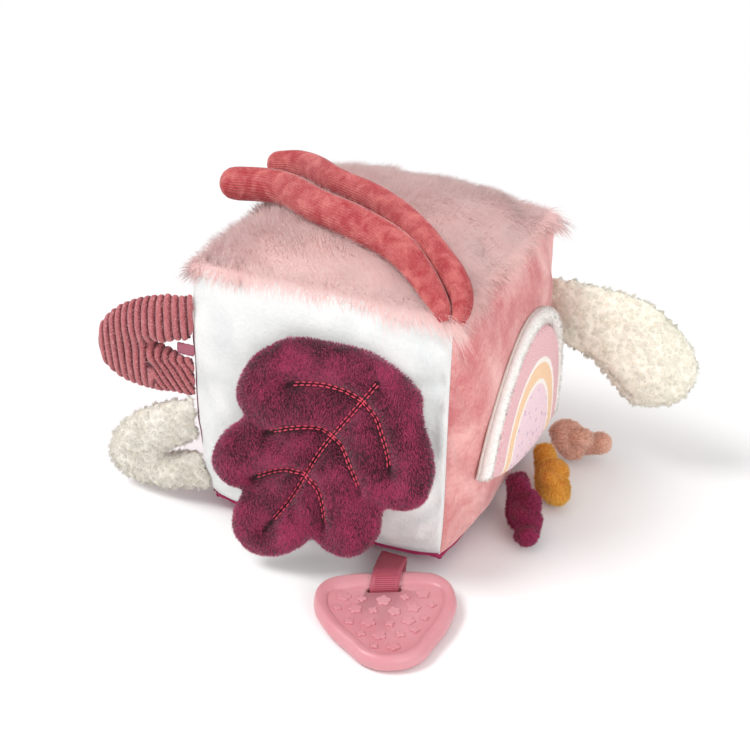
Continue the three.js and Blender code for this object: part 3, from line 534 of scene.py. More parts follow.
def pile_tree():
    """The node group that grows pile: blades stand on the faces, swirl, gather and are combed."""
    found = bpy.data.node_groups.get("pile")
    if found:
        return found
    group = bpy.data.node_groups.new("pile", "GeometryNodeTree")
    sockets = (
        ("Geometry", "NodeSocketGeometry"),
        ("Blade", "NodeSocketObject"),
        ("Density", "NodeSocketFloat"),
        ("Length", "NodeSocketFloat"),
        ("Width", "NodeSocketFloat"),
        ("Swirl", "NodeSocketFloat"),
        ("Swirl Size", "NodeSocketFloat"),
        ("Gather", "NodeSocketFloat"),
        ("Gather Size", "NodeSocketFloat"),
        ("Unruly", "NodeSocketFloat"),
        ("Skin", "NodeSocketFloat"),
        ("Seed", "NodeSocketInt"),
    )
    for name, kind in sockets:
        group.interface.new_socket(name=name, in_out="INPUT", socket_type=kind)
    group.interface.new_socket(name="Geometry", in_out="OUTPUT", socket_type="NodeSocketGeometry")
    tree = Tree(group)
    given = group.nodes.new("NodeGroupInput").outputs

    def stored(geometry, name, kind, value):
        return tree.add(
            "GeometryNodeStoreNamedAttribute",
            {"data_type": kind, "domain": "POINT"},
            Geometry=geometry,
            Name=name,
            Value=value,
        ).outputs[0]

    def named(name, kind):
        return tree.add("GeometryNodeInputNamedAttribute", {"data_type": kind}, Name=name).outputs[0]

    facing = group.nodes.new("GeometryNodeInputNormal").outputs[0]
    skin = stored(given["Geometry"], "root_normal", "FLOAT_VECTOR", facing)
    thickness = named("pile", "FLOAT")
    # The skin between the locks takes a share of the root-to-tip colour; a low Skin paints it dark, a painted
    # shade in the gaps.
    skin_share = tree.math("MULTIPLY", thickness, given["Skin"])
    cloth = stored(stored(skin, "along", "FLOAT", skin_share), "tone", "FLOAT", 0.5)

    scatter = tree.add(
        "GeometryNodeDistributePointsOnFaces",
        Mesh=skin,
        Density=tree.math("MULTIPLY", given["Density"], thickness),
        Seed=given["Seed"],
    )
    place = group.nodes.new("GeometryNodeInputPosition").outputs[0]
    chance = tree.add("ShaderNodeTexWhiteNoise", Vector=tree.scaled(place, 1000.0)).outputs
    normal = named("root_normal", "FLOAT_VECTOR")
    height = tree.math("MULTIPLY", given["Length"], tree.math("POWER", thickness, 0.5))
    height = tree.math("MULTIPLY", height, tree.math("MULTIPLY_ADD", chance["Value"], 0.5, 0.7))

    swirl = tree.add("ShaderNodeTexNoise", Vector=place, Scale=given["Swirl Size"], Detail=1.0)
    swirl = tree.vector("SUBTRACT", swirl.outputs["Color"], (0.5, 0.5, 0.5))
    swirl = tree.scaled(swirl, tree.math("MULTIPLY", given["Swirl"], 4.0))
    stray = tree.scaled(tree.vector("SUBTRACT", chance["Color"], (0.5, 0.5, 0.5)), given["Unruly"])
    lean = tree.vector("ADD", tree.vector("ADD", swirl, stray), named("comb", "FLOAT_VECTOR"))
    upwards = tree.vector("DOT_PRODUCT", normal, lean, result="Value")
    lean = tree.vector("SUBTRACT", lean, tree.scaled(normal, upwards))
    lean = tree.scaled(lean, height)
    cell = tree.add("ShaderNodeTexVoronoi", Vector=place, Scale=given["Gather Size"]).outputs["Position"]
    lean = tree.vector("ADD", lean, tree.scaled(tree.vector("SUBTRACT", cell, place), given["Gather"]))
    reach = tree.math("DIVIDE", tree.vector("DOT_PRODUCT", lean, lean, result="Value"), height)
    lean = tree.vector("SUBTRACT", lean, tree.scaled(normal, tree.math("MULTIPLY", reach, 0.42)))

    hang = tree.scaled(named("hang", "FLOAT_VECTOR"), tree.math("MULTIPLY_ADD", chance["Value"], 0.8, 0.6))
    lean = tree.vector("ADD", lean, hang)
    roots = stored(scatter.outputs["Points"], "bend", "FLOAT_VECTOR", lean)
    roots = stored(roots, "tone", "FLOAT", chance["Value"])
    roots = stored(roots, "fibre", "FLOAT", 1.0)
    upright = tree.add("FunctionNodeAlignRotationToVector", {"axis": "Z"}, Vector=normal).outputs[0]
    facing = tree.vector("ADD", lean, tree.scaled(stray, tree.math("MULTIPLY", height, 0.5)))
    upright = tree.add(
        "FunctionNodeAlignRotationToVector", {"axis": "Y", "pivot_axis": "Z"}, Rotation=upright, Vector=facing
    ).outputs[0]
    size = tree.add("ShaderNodeCombineXYZ", X=given["Width"], Y=given["Width"], Z=height).outputs[0]
    lock = tree.add("GeometryNodeObjectInfo", Object=given["Blade"]).outputs["Geometry"]
    stand = tree.add(
        "GeometryNodeInstanceOnPoints", Points=roots, Instance=lock, Rotation=upright, Scale=size
    )
    grown = tree.add("GeometryNodeRealizeInstances", Geometry=stand.outputs[0]).outputs[0]
    share = named("along", "FLOAT")
    bend = tree.scaled(named("bend", "FLOAT_VECTOR"), tree.math("POWER", share, 1.6))
    grown = tree.add("GeometryNodeSetPosition", Geometry=grown, Offset=bend).outputs[0]

    join = group.nodes.new("GeometryNodeJoinGeometry")
    group.links.new(grown, join.inputs[0])
    group.links.new(cloth, join.inputs[0])
    group.links.new(join.outputs[0], group.nodes.new("NodeGroupOutput").inputs[0])
    return group


def with_pile(piece, locks, hair, width, kind="short_blade", steps=2, seed=1, **look):
    """Grows pile on a piece. What is stored on it as pile thins it, and comb lays it down."""
    mesh = piece.data
    if "pile" not in mesh.attributes:
        spot_values(piece, "pile", [1.0] * len(mesh.vertices))
    thickness = [0.0] * len(mesh.vertices)
    mesh.attributes["pile"].data.foreach_get("value", thickness)
    area = sum(
        face.area * sum(thickness[i] for i in face.vertices) / len(face.vertices) for face in mesh.polygons
    )
    modifier = piece.modifiers.new("pile", "NODES")
    modifier.node_group = pile_tree()
    values = {
        "Blade": blade(kind, steps),
        "Density": locks / area,
        "Length": hair,
        "Width": width,
        "Swirl": look.get("swirl", 0.3),
        "Swirl Size": 1 / look.get("swirl_size", 25 * MM),
        "Gather": look.get("gather", 0.3),
        "Gather Size": 1 / look.get("gather_size", 4 * MM),
        "Unruly": look.get("unruly", 0.6),
        "Skin": look.get("skin", 0.45),
        "Seed": seed,
    }
    for item in modifier.node_group.interface.items_tree:
        if item.in_out == "INPUT" and item.name in values:
            modifier[item.identifier] = values[item.name]
    return settled(piece)


# Material groups, each built once


def shader_group(name, inputs, outputs):
    """A shader group with its sockets, the tree that fills it, and what goes into and out of it."""
    group = bpy.data.node_groups.new(name, "ShaderNodeTree")
    for label, kind in inputs:
        group.interface.new_socket(name=label, in_out="INPUT", socket_type=kind)
    for label, kind in outputs:
        group.interface.new_socket(name=label, in_out="OUTPUT", socket_type=kind)
    given = group.nodes.new("NodeGroupInput").outputs
    result = group.nodes.new("NodeGroupOutput").inputs
    return group, Tree(group), given, result


COLOUR, NUMBER, DIRECTION = "NodeSocketColor", "NodeSocketFloat", "NodeSocketVector"


def pile_look():
    """Pile: dark at the root as a painted shade of the pile's depth, light at the tip, uneven from lock to
    lock, lit as a soft surface.
    """
    found = bpy.data.node_groups.get("pile_look")
    if found:
        return found
    group, tree, given, result = shader_group(
        "pile_look",
        (
            ("Root", COLOUR),
            ("Tip", COLOUR),
            ("Patches", NUMBER),
            ("Patch Size", NUMBER),
            ("Speckle", NUMBER),
            ("Soft", NUMBER),
        ),
        (("Color", COLOUR), ("Normal", DIRECTION)),
    )
    cloud = tree.around(tree.noise(given["Patch Size"], 3.0), given["Patches"])
    speckle = tree.around(tree.stored("tone"), given["Speckle"])
    share = tree.math("ADD", tree.math("ADD", tree.stored("along"), cloud), speckle)
    share = tree.ramp(share, 0.0, 1.0)
    tree.feed(result["Color"], tree.mix(share, given["Root"], given["Tip"]))
    root = tree.add(
        "ShaderNodeVectorTransform",
        {"vector_type": "NORMAL", "convert_from": "OBJECT", "convert_to": "WORLD"},
        Vector=tree.stored("root_normal", "Vector"),
    ).outputs[0]
    shape = tree.add("ShaderNodeNewGeometry").outputs["Normal"]
    blend = tree.vector("ADD", tree.scaled(root, given["Soft"]), shape)
    tree.feed(result["Normal"], tree.vector("NORMALIZE", blend))
    return group


def velour_look():
    """Short nap: fine fibres, brushed patches and a soft grain."""
    found = bpy.data.node_groups.get("velour_look")
    if found:
        return found
    group, tree, given, result = shader_group(
        "velour_look",
        (
            ("Color", COLOUR),
            ("Nap", COLOUR),
            ("Brushed", NUMBER),
            ("Brushed Size", NUMBER),
            ("Grain Size", NUMBER),
        ),
        (("Color", COLOUR), ("Roughness", NUMBER), ("Height", NUMBER)),
    )
    coordinates = tree.add("ShaderNodeTexCoord").outputs["Object"]
    brushed = tree.ramp(tree.noise(given["Brushed Size"], 4.0, Distortion=0.6), 0.35, 0.68)
    grain = tree.noise(given["Grain Size"], 3.0)
    fibre = tree.add(
        "ShaderNodeTexNoise",
        Vector=tree.add("ShaderNodeMapping", Vector=coordinates, Scale=(1.0, 1.0, 0.35)).outputs[0],
        Scale=1500.0,
        Detail=2.0,
    ).outputs["Fac"]
    share = tree.math("MULTIPLY", brushed, given["Brushed"])
    share = tree.math("ADD", share, tree.around(grain, 0.55))
    share = tree.math("ADD", share, tree.around(fibre, 0.5))
    tree.feed(result["Color"], tree.mix(tree.ramp(share, 0.0, 1.0), given["Color"], given["Nap"]))
    tree.feed(result["Roughness"], tree.math("MULTIPLY_ADD", fibre, 0.2, 0.75))
    height = tree.math("ADD", tree.math("MULTIPLY", grain, 0.7), tree.math("MULTIPLY", fibre, 0.5))
    tree.feed(result["Height"], height)
    return group


def material_tree(name):
    """A new material with a bare Principled shader."""
    material = bpy.data.materials.new(name)
    material.use_nodes = True
    shader = material.node_tree.nodes["Principled BSDF"]
    return material, Tree(material.node_tree), shader


def placed(tree, group, **inputs):
    """A shader group in a material, with its values."""
    node = tree.tree.nodes.new("ShaderNodeGroup")
    node.node_tree = group
    for name, value in inputs.items():
        if isinstance(value, tuple) and len(value) == 3:
            value = (*value, 1.0)
        tree.feed(node.inputs[name.replace("_", " ")], value)
    return node.outputs


def pile_material(
    name, root, tip, patches=0.35, patch_size=60.0, speckle=0.5, soft=1.5, sheen=0.2, clear=0.93
):
    """The material of a piece with pile. The fibres let some light through to those behind."""
    material, tree, shader = material_tree(name)
    look = placed(
        tree,
        pile_look(),
        Root=tuple(root),
        Tip=tuple(tip),
        Patches=patches,
        Patch_Size=patch_size,
        Speckle=speckle,
        Soft=soft,
    )
    fibre = tree.stored("fibre")
    glow = tree.add("ShaderNodeBsdfTranslucent", Color=look["Color"]).outputs[0]
    seen = tree.mix_shaders(tree.math("MULTIPLY", fibre, 0.45), shader.outputs[0], glow)
    gap = tree.add("ShaderNodeBsdfTransparent").outputs[0]
    loose = tree.mix_shaders(tree.math("MULTIPLY", fibre, clear), shader.outputs[0], gap)
    path = tree.add("ShaderNodeLightPath").outputs
    seen = tree.mix_shaders(path["Is Shadow Ray"], seen, loose)
    seen = tree.mix_shaders(path["Is Diffuse Ray"], seen, loose)
    tree.feed(material.node_tree.nodes["Material Output"].inputs["Surface"], seen)
    tree.finish(shader, Base_Color=look["Color"], Normal=look["Normal"], Roughness=0.9)
    tree.finish(shader, Specular_IOR_Level=0.15, Sheen_Weight=sheen, Sheen_Roughness=0.5)
    return material


def velour_material(
    name, base, nap, brushed=0.6, brushed_size=38.0, grain_size=700.0, bump=0.5, sheen=0.3
):
    """The material of a short-napped piece."""
    material, tree, shader = material_tree(name)
    look = placed(
        tree,
        velour_look(),
        Color=tuple(base),
        Nap=tuple(nap),
        Brushed=brushed,
        Brushed_Size=brushed_size,
        Grain_Size=grain_size,
    )
    relief = tree.bump(look["Height"], bump, 0.6 * MM)
    tree.finish(shader, Base_Color=look["Color"], Roughness=look["Roughness"], Normal=relief)
    tree.finish(shader, Specular_IOR_Level=0.15, Sheen_Weight=sheen, Sheen_Roughness=0.4)
    return material


BLACK = (0, 0, 0)
WHITE = (1, 1, 1)


def mixed(first, second, share):
    """A colour between two colours."""
    return tuple(a + (b - a) * share for a, b in zip(first, second))


def solid(shade):
    """A colour that nothing shines through."""
    return (*shade, 1)


# The cube's cover

COVER_CELLS = 44
EDGE_CLOSENESS = 0.6
FUR_LOW_SHARE = 0.94
PANELS = {
    "fur_top": (2, 1),
    "front_panel": (1, -1),
    "right_panel": (0, 1),
    "left_panel": (0, -1),
    "rear_panel": (1, 1),
    "bottom_panel": (2, -1),
}


def block_middle():
    """The middle of the cube and half of its sizes, from the frame's panels."""
    low, high = zip(*(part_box(node) for node in PANELS))
    low = Vector(min(corner[i] for corner in low) for i in range(3))
    high = Vector(max(corner[i] for corner in high) for i in range(3))
    return (low + high) / 2, (high - low) / 2


def closer_to_edge(share):
    """Moves the rows of a face towards its seams, where the cloth bends most."""
    return (1 - EDGE_CLOSENESS) * share + EDGE_CLOSENESS * math.sin(share * math.pi / 2)


def cover_form():
    """The cube's skin as one closed mesh of six gridded faces, laid on the frame's panels."""
    middle, half = block_middle()
    skin = surface_of(*PANELS)
    form = bmesh.new()
    bmesh.ops.create_cube(form, size=2)
    bmesh.ops.subdivide_edges(form, edges=form.edges, cuts=COVER_CELLS - 1, use_grid_fill=True)
    shares = form.verts.layers.float_vector.new("share")
    for vert in form.verts:
        place = Vector(closer_to_edge(part) for part in vert.co)
        vert[shares] = place
        way = Vector(part * size for part, size in zip(place, half))
        out = middle + way * 1.5
        hit = skin.ray_cast(out, -way.normalized())[0]
        near = skin.find_nearest(middle + way)[0]
        on_seam = sum(1 for part in place if abs(part) > 0.995) > 1
        if on_seam or hit is None or (hit - near).length > 25 * MM:
            hit = near
        vert.co = hit
    smoothed(form, 0.4)
    return from_bmesh("cover", form)


def seam_closeness(share, half):
    """How far a point of the skin lies from its nearest seam."""
    sizes = sorted(((1 - abs(part)) * size for part, size in zip(share, half)))
    return sizes[1]


# Folds of the cloth: face, start and end as shares of the face, width and depth in millimetres
FOLDS = (
    ("right_panel", (-0.92, 0.8), (-0.7, 0.42), 4, 3.8),
    ("right_panel", (-0.9, 0.42), (-0.66, 0.05), 4.5, 3.4),
    ("right_panel", (-0.9, 0.02), (-0.62, -0.4), 5, 3.0),
    ("right_panel", (-0.9, -0.4), (-0.6, -0.75), 5, 2.8),
    ("right_panel", (-0.5, 0.95), (-0.3, 0.55), 6, 2.0),
    ("right_panel", (0.1, 0.95), (0.2, 0.7), 6, 1.6),
    ("front_panel", (0.9, 0.44), (0.62, 0.34), 4, 2.6),
    ("front_panel", (0.9, 0.24), (0.66, 0.12), 4, 2.2),
    ("front_panel", (0.9, 0.68), (0.55, 0.74), 4, 2.4),
    ("front_panel", (0.9, -0.5), (0.55, -0.7), 5, 2.2),
    ("front_panel", (-0.6, 0.92), (-0.35, 0.74), 5, 1.4),
)


def fold_depth(share, half):
    """How deep the folds are at a point of the skin."""
    depth = 0
    for face, start, end, width, deepest in FOLDS:
        axis, side = PANELS[face]
        if share[axis] * side < 0.99:
            continue
        first, second = (i for i in range(3) if i != axis)
        place = Vector((share[first] * half[first], share[second] * half[second]))
        begin = Vector((start[0] * half[first], start[1] * half[second]))
        finish = Vector((end[0] * half[first], end[1] * half[second]))
        way = finish - begin
        part = limited((place - begin).dot(way) / way.length_squared, 0, 1)
        away = (place - begin - way * part).length / (width * MM)
        depth += deepest * MM * math.exp(-away * away) * (1 - part * part * 0.8)
    return depth


def sewn_cover(settings):
    """The skin after stuffing: puffed by a short simulation, drawn in and puckered at the seams."""
    middle, half = block_middle()
    piece = cover_form()
    for vert in piece.data.vertices:
        vert.co = middle + (vert.co - middle) * (1 - 0.4 * MM / half.x)
    shares = [tuple(item.vector) for item in piece.data.attributes["share"].data]
    pins = [i for i, share in enumerate(shares) if sum(1 for part in share if abs(part) > 0.995) > 1]
    freedom = [eased(seam_closeness(share, half), 2 * MM, 18 * MM) for share in shares]
    puffed(piece, 3.0, 0.05, 1.1 * MM, 1.8 * MM, 1.5 * MM, pins, freedom)
    subdivided(piece, 1)
    shares = [Vector(item.vector) for item in piece.data.attributes["share"].data]
    normals = [vert.normal.copy() for vert in piece.data.vertices]
    for vert, share, normal in zip(piece.data.vertices, shares, normals):
        away = seam_closeness(share, half)
        free = eased(away, 0.5 * MM, 5 * MM)
        ripple = noise.noise(vert.co / (5.5 * MM)) * settings.pucker * math.exp(-away / (7 * MM))
        dent = abs(noise.noise(vert.co / (34 * MM))) * MM
        valley = settings.seam_depth * math.exp(-((away / settings.seam_width) ** 2))
        inward = (vert.co - middle).normalized()
        vert.co -= normal * max(fold_depth(share, half) + ripple + dent, 0) * free + inward * valley
    return relaxed(piece, 2)


def panel_piece(cover, name, thickness):
    """One panel cut from the cover, with its wall on the inner side."""
    axis, side = PANELS[name]
    form = bmesh.new()
    form.from_mesh(cover.data)
    shares = form.verts.layers.float_vector["share"]
    others = []
    for face in form.faces:
        centre = sum((vert[shares] for vert in face.verts), Vector()) / len(face.verts)
        largest = 2 if centre.z > FUR_LOW_SHARE else max(range(3), key=lambda i: abs(centre[i]))
        if largest != axis or centre[axis] * side < 0:
            others.append(face)
    bmesh.ops.delete(form, geom=others, context="FACES")
    return walled(from_bmesh(f"{name}_cloth", form), thickness)


class SOFTBLOCK_OT_cover(bpy.types.Operator):
    """Sew the five velour panels of the cube and the cloth under the fur"""

    bl_idname = "softblock.cover"
    bl_label = "Cover"

    def execute(self, context):
        settings = context.scene.softblock_cover
        cover = sewn_cover(settings)
        finishes = {
            "front_panel": (settings.white, tone(212, 214, 214), "velour_white"),
            "right_panel": (settings.rose, tone(244, 194, 188), "velour_rose"),
            "left_panel": (settings.burgundy, tone(176, 58, 100), "velour_burgundy"),
            "rear_panel": (settings.dusty, tone(222, 182, 172), "velour_dusty"),
            "bottom_panel": (settings.burgundy, tone(176, 58, 100), "velour_burgundy"),
        }
        for name, (base, nap, slot) in finishes.items():
            piece = unwrapped(panel_piece(cover, name, settings.thickness))
            look = {"brushed": 0.8, "grain_size": 500.0, "bump": 0.8}
            material = velour_material(f"{name}_velour", base, nap, **look)
            dressed(piece, material, "cube", name, slot=slot, fill=0.8)
        fur = panel_piece(cover, "fur_top", settings.thickness)
        grow_fur(fur, context.scene.softblock_fur)
        bpy.data.objects.remove(cover)
        return {"FINISHED"}


def grow_fur(piece, settings):
    """Long fur that runs outwards from the middle of the top and hangs over its edges."""
    middle, half = block_middle()
    comb = []
    hang = []
    for vert in piece.data.vertices:
        x = vert.co.x / half.x
        y = vert.co.y / half.y
        edge = eased(max(abs(x), abs(y)), 0.8, 0.97)
        comb.append(Vector((0.55 + x * 0.4, -0.55 + y * 0.45, -0.9 * edge)))
        hang.append(Vector((0.2 * x, 0.2 * y, -1)) * settings.hang * edge)
    spot_vectors(piece, "comb", comb)
    spot_vectors(piece, "hang", hang)
    spot_values(piece, "pile", [1.0 if vert.normal.z > -0.6 else 0.0 for vert in piece.data.vertices])
    unwrapped(piece)
    with_pile(
        piece,
        settings.locks,
        settings.hair,
        settings.width,
        kind="long_blade",
        steps=3,
        swirl=0.35,
        swirl_size=30 * MM,
        gather=0.55,
        gather_size=3.5 * MM,
        unruly=0.9,
        skin=0.9,
    )
    look = {"patches": 0.6, "patch_size": 45.0, "speckle": 0.4, "soft": 3.0, "sheen": 0.4, "clear": 0.98}
    material = pile_material("fur", settings.root, settings.tip, **look)
    dressed(piece, material, "cube", "fur_top", slot="fur", fill=0.8)


# The leaf, with the sizes and shares of the frame's solids

LEAF_LENGTH = 130 * MM
LEAF_HALF_WIDTH = 53 * MM
LEAF_SPIN = math.radians(34)
LEAF_LEAN = math.radians(10)
LEAF_BOW = 5 * MM
LEAF_SKEW_SHARE = 0.17
MIDRIB_SHARES = (0.09, 0.87)
VEIN_START_SHARES = (0.18, 0.375, 0.575)
VEIN_END_SHARES = (0.6, 0.51, 0.4)
VEIN_FALL_SHARE = 0.148
VEIN_STEPS = 24
STITCH = 2.6 * MM
STITCH_GAP = 0.7 * MM
STITCH_RADIUS = 0.38 * MM
STITCH_RISE = 1.2 * MM
QUILT_SHARE = 0.55
QUILT_WIDTH = 8 * MM
LEAF_FOLD_SIZE = 16 * MM
LEAF_FOLD_HEIGHT = 1.5 * MM


def leaf_axes():
    """The leaf's sewn top, the way down its midrib, the way across it and the way out of it."""
    hinge = next(joint for joint in frame["joints"] if joint["child"] == "leaf")
    across = Vector(hinge["axis"]).normalized()
    if across.x < 0:
        across = -across
    down = Vector((-math.sin(LEAF_SPIN), 0, -math.cos(LEAF_SPIN))) * math.cos(LEAF_LEAN)
    down.y = -math.sin(LEAF_LEAN)
    return Vector(hinge["pos_m"]), down, across, down.cross(across).normalized()


def leaf_plane(s, t):
    """The real leaf hangs a little skewed, with a bowed midrib."""
    share = s / LEAF_LENGTH
    bow = LEAF_BOW * eased(share, 0.01, 0.07) * (1 - eased(share, 0.4, 0.75))
    skew = LEAF_SKEW_SHARE * eased(share, 0.32, 0.5)
    return s - skew * t, t - bow


def leaf_veins():
    """The midrib and six side veins, as rows of places in the leaf's plane."""
    steps = [i / VEIN_STEPS for i in range(VEIN_STEPS + 1)]
    start, end = MIDRIB_SHARES
    veins = [[((start + (end - start) * share) * LEAF_LENGTH, 0) for share in steps]]
    for start, end in zip(VEIN_START_SHARES, VEIN_END_SHARES):
        for side in (-1, 1):
            vein = []
            for share in steps:
                fallen = start + VEIN_FALL_SHARE * share * share
                vein.append((fallen * LEAF_LENGTH, side * end * LEAF_HALF_WIDTH * share))
            veins.append(vein)
    return [[leaf_plane(*place) for place in vein] for vein in veins]


def leaf_cushion(settings):
    """The stuffed leaf with its vein channels, and the tree that finds its surface."""
    origin, down, across, out = leaf_axes()
    piece = from_bmesh("leaf_plush", copy_of("leaf_front", "leaf_back"))
    remeshed(piece, 1.5 * MM)
    relaxed(piece, 3)
    puffed(piece, 2.0, 0.02, 1.2 * MM, 0.8 * MM, 0.8 * MM)
    veins = [Vector((s, t)) for vein in leaf_veins() for s, t in vein]
    pile = []
    comb = []
    for vert in piece.data.vertices:
        place = vert.co - origin
        flat = Vector((place.dot(down), place.dot(across)))
        away = min((flat - vein).length for vein in veins)
        front = limited(vert.normal.dot(out) * 2, 0, 1)
        groove = math.exp(-((away / settings.channel_width) ** 2))
        groove += QUILT_SHARE * math.exp(-((away / QUILT_WIDTH) ** 2))
        fold = noise.noise(vert.co / LEAF_FOLD_SIZE) * LEAF_FOLD_HEIGHT
        vert.co -= out * (settings.channel * groove - fold) * front
        pile.append(1 - 0.97 * math.exp(-((away / (2.2 * MM)) ** 4)) * front)
        comb.append(down * 0.5 + across * 0.15)
    relaxed(piece, 1)
    spot_values(piece, "pile", pile)
    spot_vectors(piece, "comb", comb)
    form = bmesh.new()
    form.from_mesh(piece.data)
    surface = BVHTree.FromBMesh(form)
    form.free()
    return piece, surface


def stitched(form, path, radius, stitch, gap):
    """Adds a row of short rounded stitches along a path of places."""
    lengths = [0]
    for before, after in zip(path, path[1:]):
        lengths.append(lengths[-1] + (after - before).length)

    def place_at(distance):
        for i in range(1, len(lengths)):
            if distance <= lengths[i]:
                part = (distance - lengths[i - 1]) / max(lengths[i] - lengths[i - 1], 1e-9)
                return path[i - 1].lerp(path[i], part)
        return path[-1]

    reached = 0
    while reached + stitch < lengths[-1]:
        start = place_at(reached)
        end = place_at(reached + stitch)
        way = end - start
        turn = Vector((0, 0, 1)).rotation_difference(way).to_matrix().to_4x4()
        made = bmesh.ops.create_uvsphere(form, u_segments=6, v_segments=5, radius=1)["verts"]
        size = Matrix.Diagonal((radius, radius, way.length / 2, 1))
        bmesh.ops.transform(form, matrix=Matrix.Translation((start + end) / 2) @ turn @ size, verts=made)
        reached += stitch + gap


def thread_material(name, base):
    """Sewing thread with a twist."""
    material, tree, shader = material_tree(name)
    twist = tree.noise(2600.0, 2.0)
    shown = tree.mix(twist, solid(mixed(base, BLACK, 0.35)), solid(mixed(base, WHITE, 0.05)))
    rough = tree.math("MULTIPLY_ADD", twist, 0.3, 0.4)
    tree.finish(shader, Base_Color=shown, Roughness=rough, Normal=tree.bump(twist, 0.5, 0.2 * MM))
    return material


class SOFTBLOCK_OT_leaf(bpy.types.Operator):
    """Quilt the plush leaf, with a double row of red stitches along each vein"""

    bl_idname = "softblock.leaf"
    bl_label = "Leaf"

    def execute(self, context):
        settings = context.scene.softblock_leaf
        piece, surface = leaf_cushion(settings)
        unwrapped(piece)
        lie = {"swirl": 0.45, "swirl_size": 12 * MM, "gather": 0.4, "gather_size": 1.3 * MM}
        # A low skin share paints the cloth between the locks in the dark root colour: painted shade.
        with_pile(piece, settings.locks, settings.hair, 0.26 * MM, unruly=1.0, skin=0.1, **lie)
        look = {"patches": 1.5, "patch_size": 60.0, "speckle": 1.5, "soft": 1.0, "sheen": 0.6}
        material = pile_material("leaf_plush", settings.root, settings.tip, **look)
        dressed(piece, material, "leaf", "leaf_front", "leaf_back", slot="plush_leaf", fill=0.6)

        origin, down, across, out = leaf_axes()
        form = bmesh.new()
        for vein in leaf_veins():
            for side in (-0.5, 0.5):
                row = []
                for before, after in zip(vein, vein[1:]):
                    way = Vector((after[0] - before[0], after[1] - before[1])).normalized()
                    s = before[0] - way.y * side * settings.row_gap
                    t = before[1] + way.x * side * settings.row_gap
                    high = origin + down * s + across * t + out * 30 * MM
                    hit = surface.ray_cast(high, -out)[0]
                    if hit is not None:
                        row.append(hit + out * STITCH_RISE)
                stitched(form, row, STITCH_RADIUS, STITCH, STITCH_GAP)
        stitches = from_bmesh("leaf_stitches", form)
        dressed(stitches, thread_material("leaf_thread", settings.stitch), "leaf")
        return {"FINISHED"}


# The arch patch

ARCH_COLUMNS = 110
ARCH_BANDS = {"pink": 0.66, "thin_outer": 0.62, "orange": 0.5, "thin_inner": 0.465}
BAND_BLUR = 0.004
PATCH_GAP_SHARE = 0.004
TERRY_LOCKS = 16000
TERRY_HAIR = 1.5 * MM
TERRY_SHADE = (0.5, 0.45, 0.42)


def arch_place(settings, angle, share):
    """A place on the patch: the angle round it from its front foot and the share of the way out."""
    u = -settings.half_width * share * math.cos(angle)
    w = settings.rise * share * math.sin(angle)
    low = 1 - min(w / settings.sag, 1)
    sag = settings.sag * (1 - (u / settings.half_width) ** 2) * low * low
    turn = settings.turn
    y = settings.centre_y + u * math.cos(turn) + (w - sag) * math.sin(turn)
    z = settings.centre_z - u * math.sin(turn) + (w - sag) * math.cos(turn)
    return y, z


def arch_sheet(settings, name, inner, outer, rows, crown, rim):
    """A padded sheet of the patch between two shares, raised to the frame's face in its middle."""
    face = surface_of("arch_border", "arch_print")
    back = surface_of("arch_backing")
    form = bmesh.new()
    bmesh.ops.create_grid(form, x_segments=ARCH_COLUMNS, y_segments=rows, size=0.5)
    layer = form.verts.layers.float_vector.new("patch")
    for vert in form.verts:
        i = vert.co.x + 0.5
        j = vert.co.y + 0.5
        share = inner + (outer - inner) * j
        y, z = arch_place(settings, math.pi * i, share)
        far = Vector((200 * MM, y, z))
        high = face.ray_cast(far, Vector((-1, 0, 0)))[0] or face.find_nearest(Vector((80 * MM, y, z)))[0]
        low = back.ray_cast(far, Vector((-1, 0, 0)))[0] or back.find_nearest(Vector((80 * MM, y, z)))[0]
        across = min((1 - j) * (outer - inner), j * (outer - inner) if rim else 1) * settings.rise
        foot = min(i, 1 - i) * math.pi * share * settings.half_width
        swell = math.sqrt(1 - (1 - limited(min(across, foot) / crown, 0, 1)) ** 2)
        vert[layer] = Vector((i, share, 0))
        vert.co = Vector((low.x + (high.x - low.x) * swell + 0.2 * MM, y, z))
    bmesh.ops.remove_doubles(form, verts=form.verts, dist=0.05 * MM)
    bmesh.ops.recalc_face_normals(form, faces=form.faces)
    if sum(face.normal.x for face in form.faces) < 0:
        bmesh.ops.reverse_faces(form, faces=form.faces)
    return walled(from_bmesh(name, form), 0.7 * MM)


def print_material(settings):
    """The printed bands of the patch, with a short nap and small dots in the middle."""
    material, tree, shader = material_tree("arch_print")
    coordinates = tree.add("ShaderNodeTexCoord").outputs["Object"]
    share = tree.add("ShaderNodeSeparateXYZ", Vector=tree.stored("patch", "Vector")).outputs["Y"]
    share = tree.math("ADD", share, tree.around(tree.noise(220.0, 2.0), 0.018))
    bands = (
        (ARCH_BANDS["thin_inner"], settings.thin),
        (ARCH_BANDS["orange"], settings.orange),
        (ARCH_BANDS["thin_outer"], settings.thin),
        (ARCH_BANDS["pink"], settings.pink),
    )
    dots = tree.add("ShaderNodeTexVoronoi", Vector=coordinates, Scale=150.0, Randomness=0.75)
    dots = tree.ramp(dots.outputs["Distance"], 0.24, 0.17)
    shown = tree.mix(dots, solid(settings.middle), solid(settings.dots))
    for edge, shade in bands:
        shown = tree.mix(tree.ramp(share, edge - BAND_BLUR, edge + BAND_BLUR), shown, solid(shade))
    grain = tree.noise(1100.0, 3.0)
    pale = tree.mix(0.45, shown, solid(WHITE))
    shown = tree.mix(tree.ramp(grain, 0.45, 0.75), shown, pale)
    deep = tree.mix(0.3, shown, solid(mixed(settings.pink, BLACK, 0.5)))
    shown = tree.mix(tree.ramp(grain, 0.5, 0.25), shown, deep)
    tree.finish(shader, Base_Color=shown, Normal=tree.bump(grain, 0.55, 0.6 * MM), Roughness=0.85)
    tree.finish(shader, Specular_IOR_Level=0.15, Sheen_Weight=0.25)
    return material


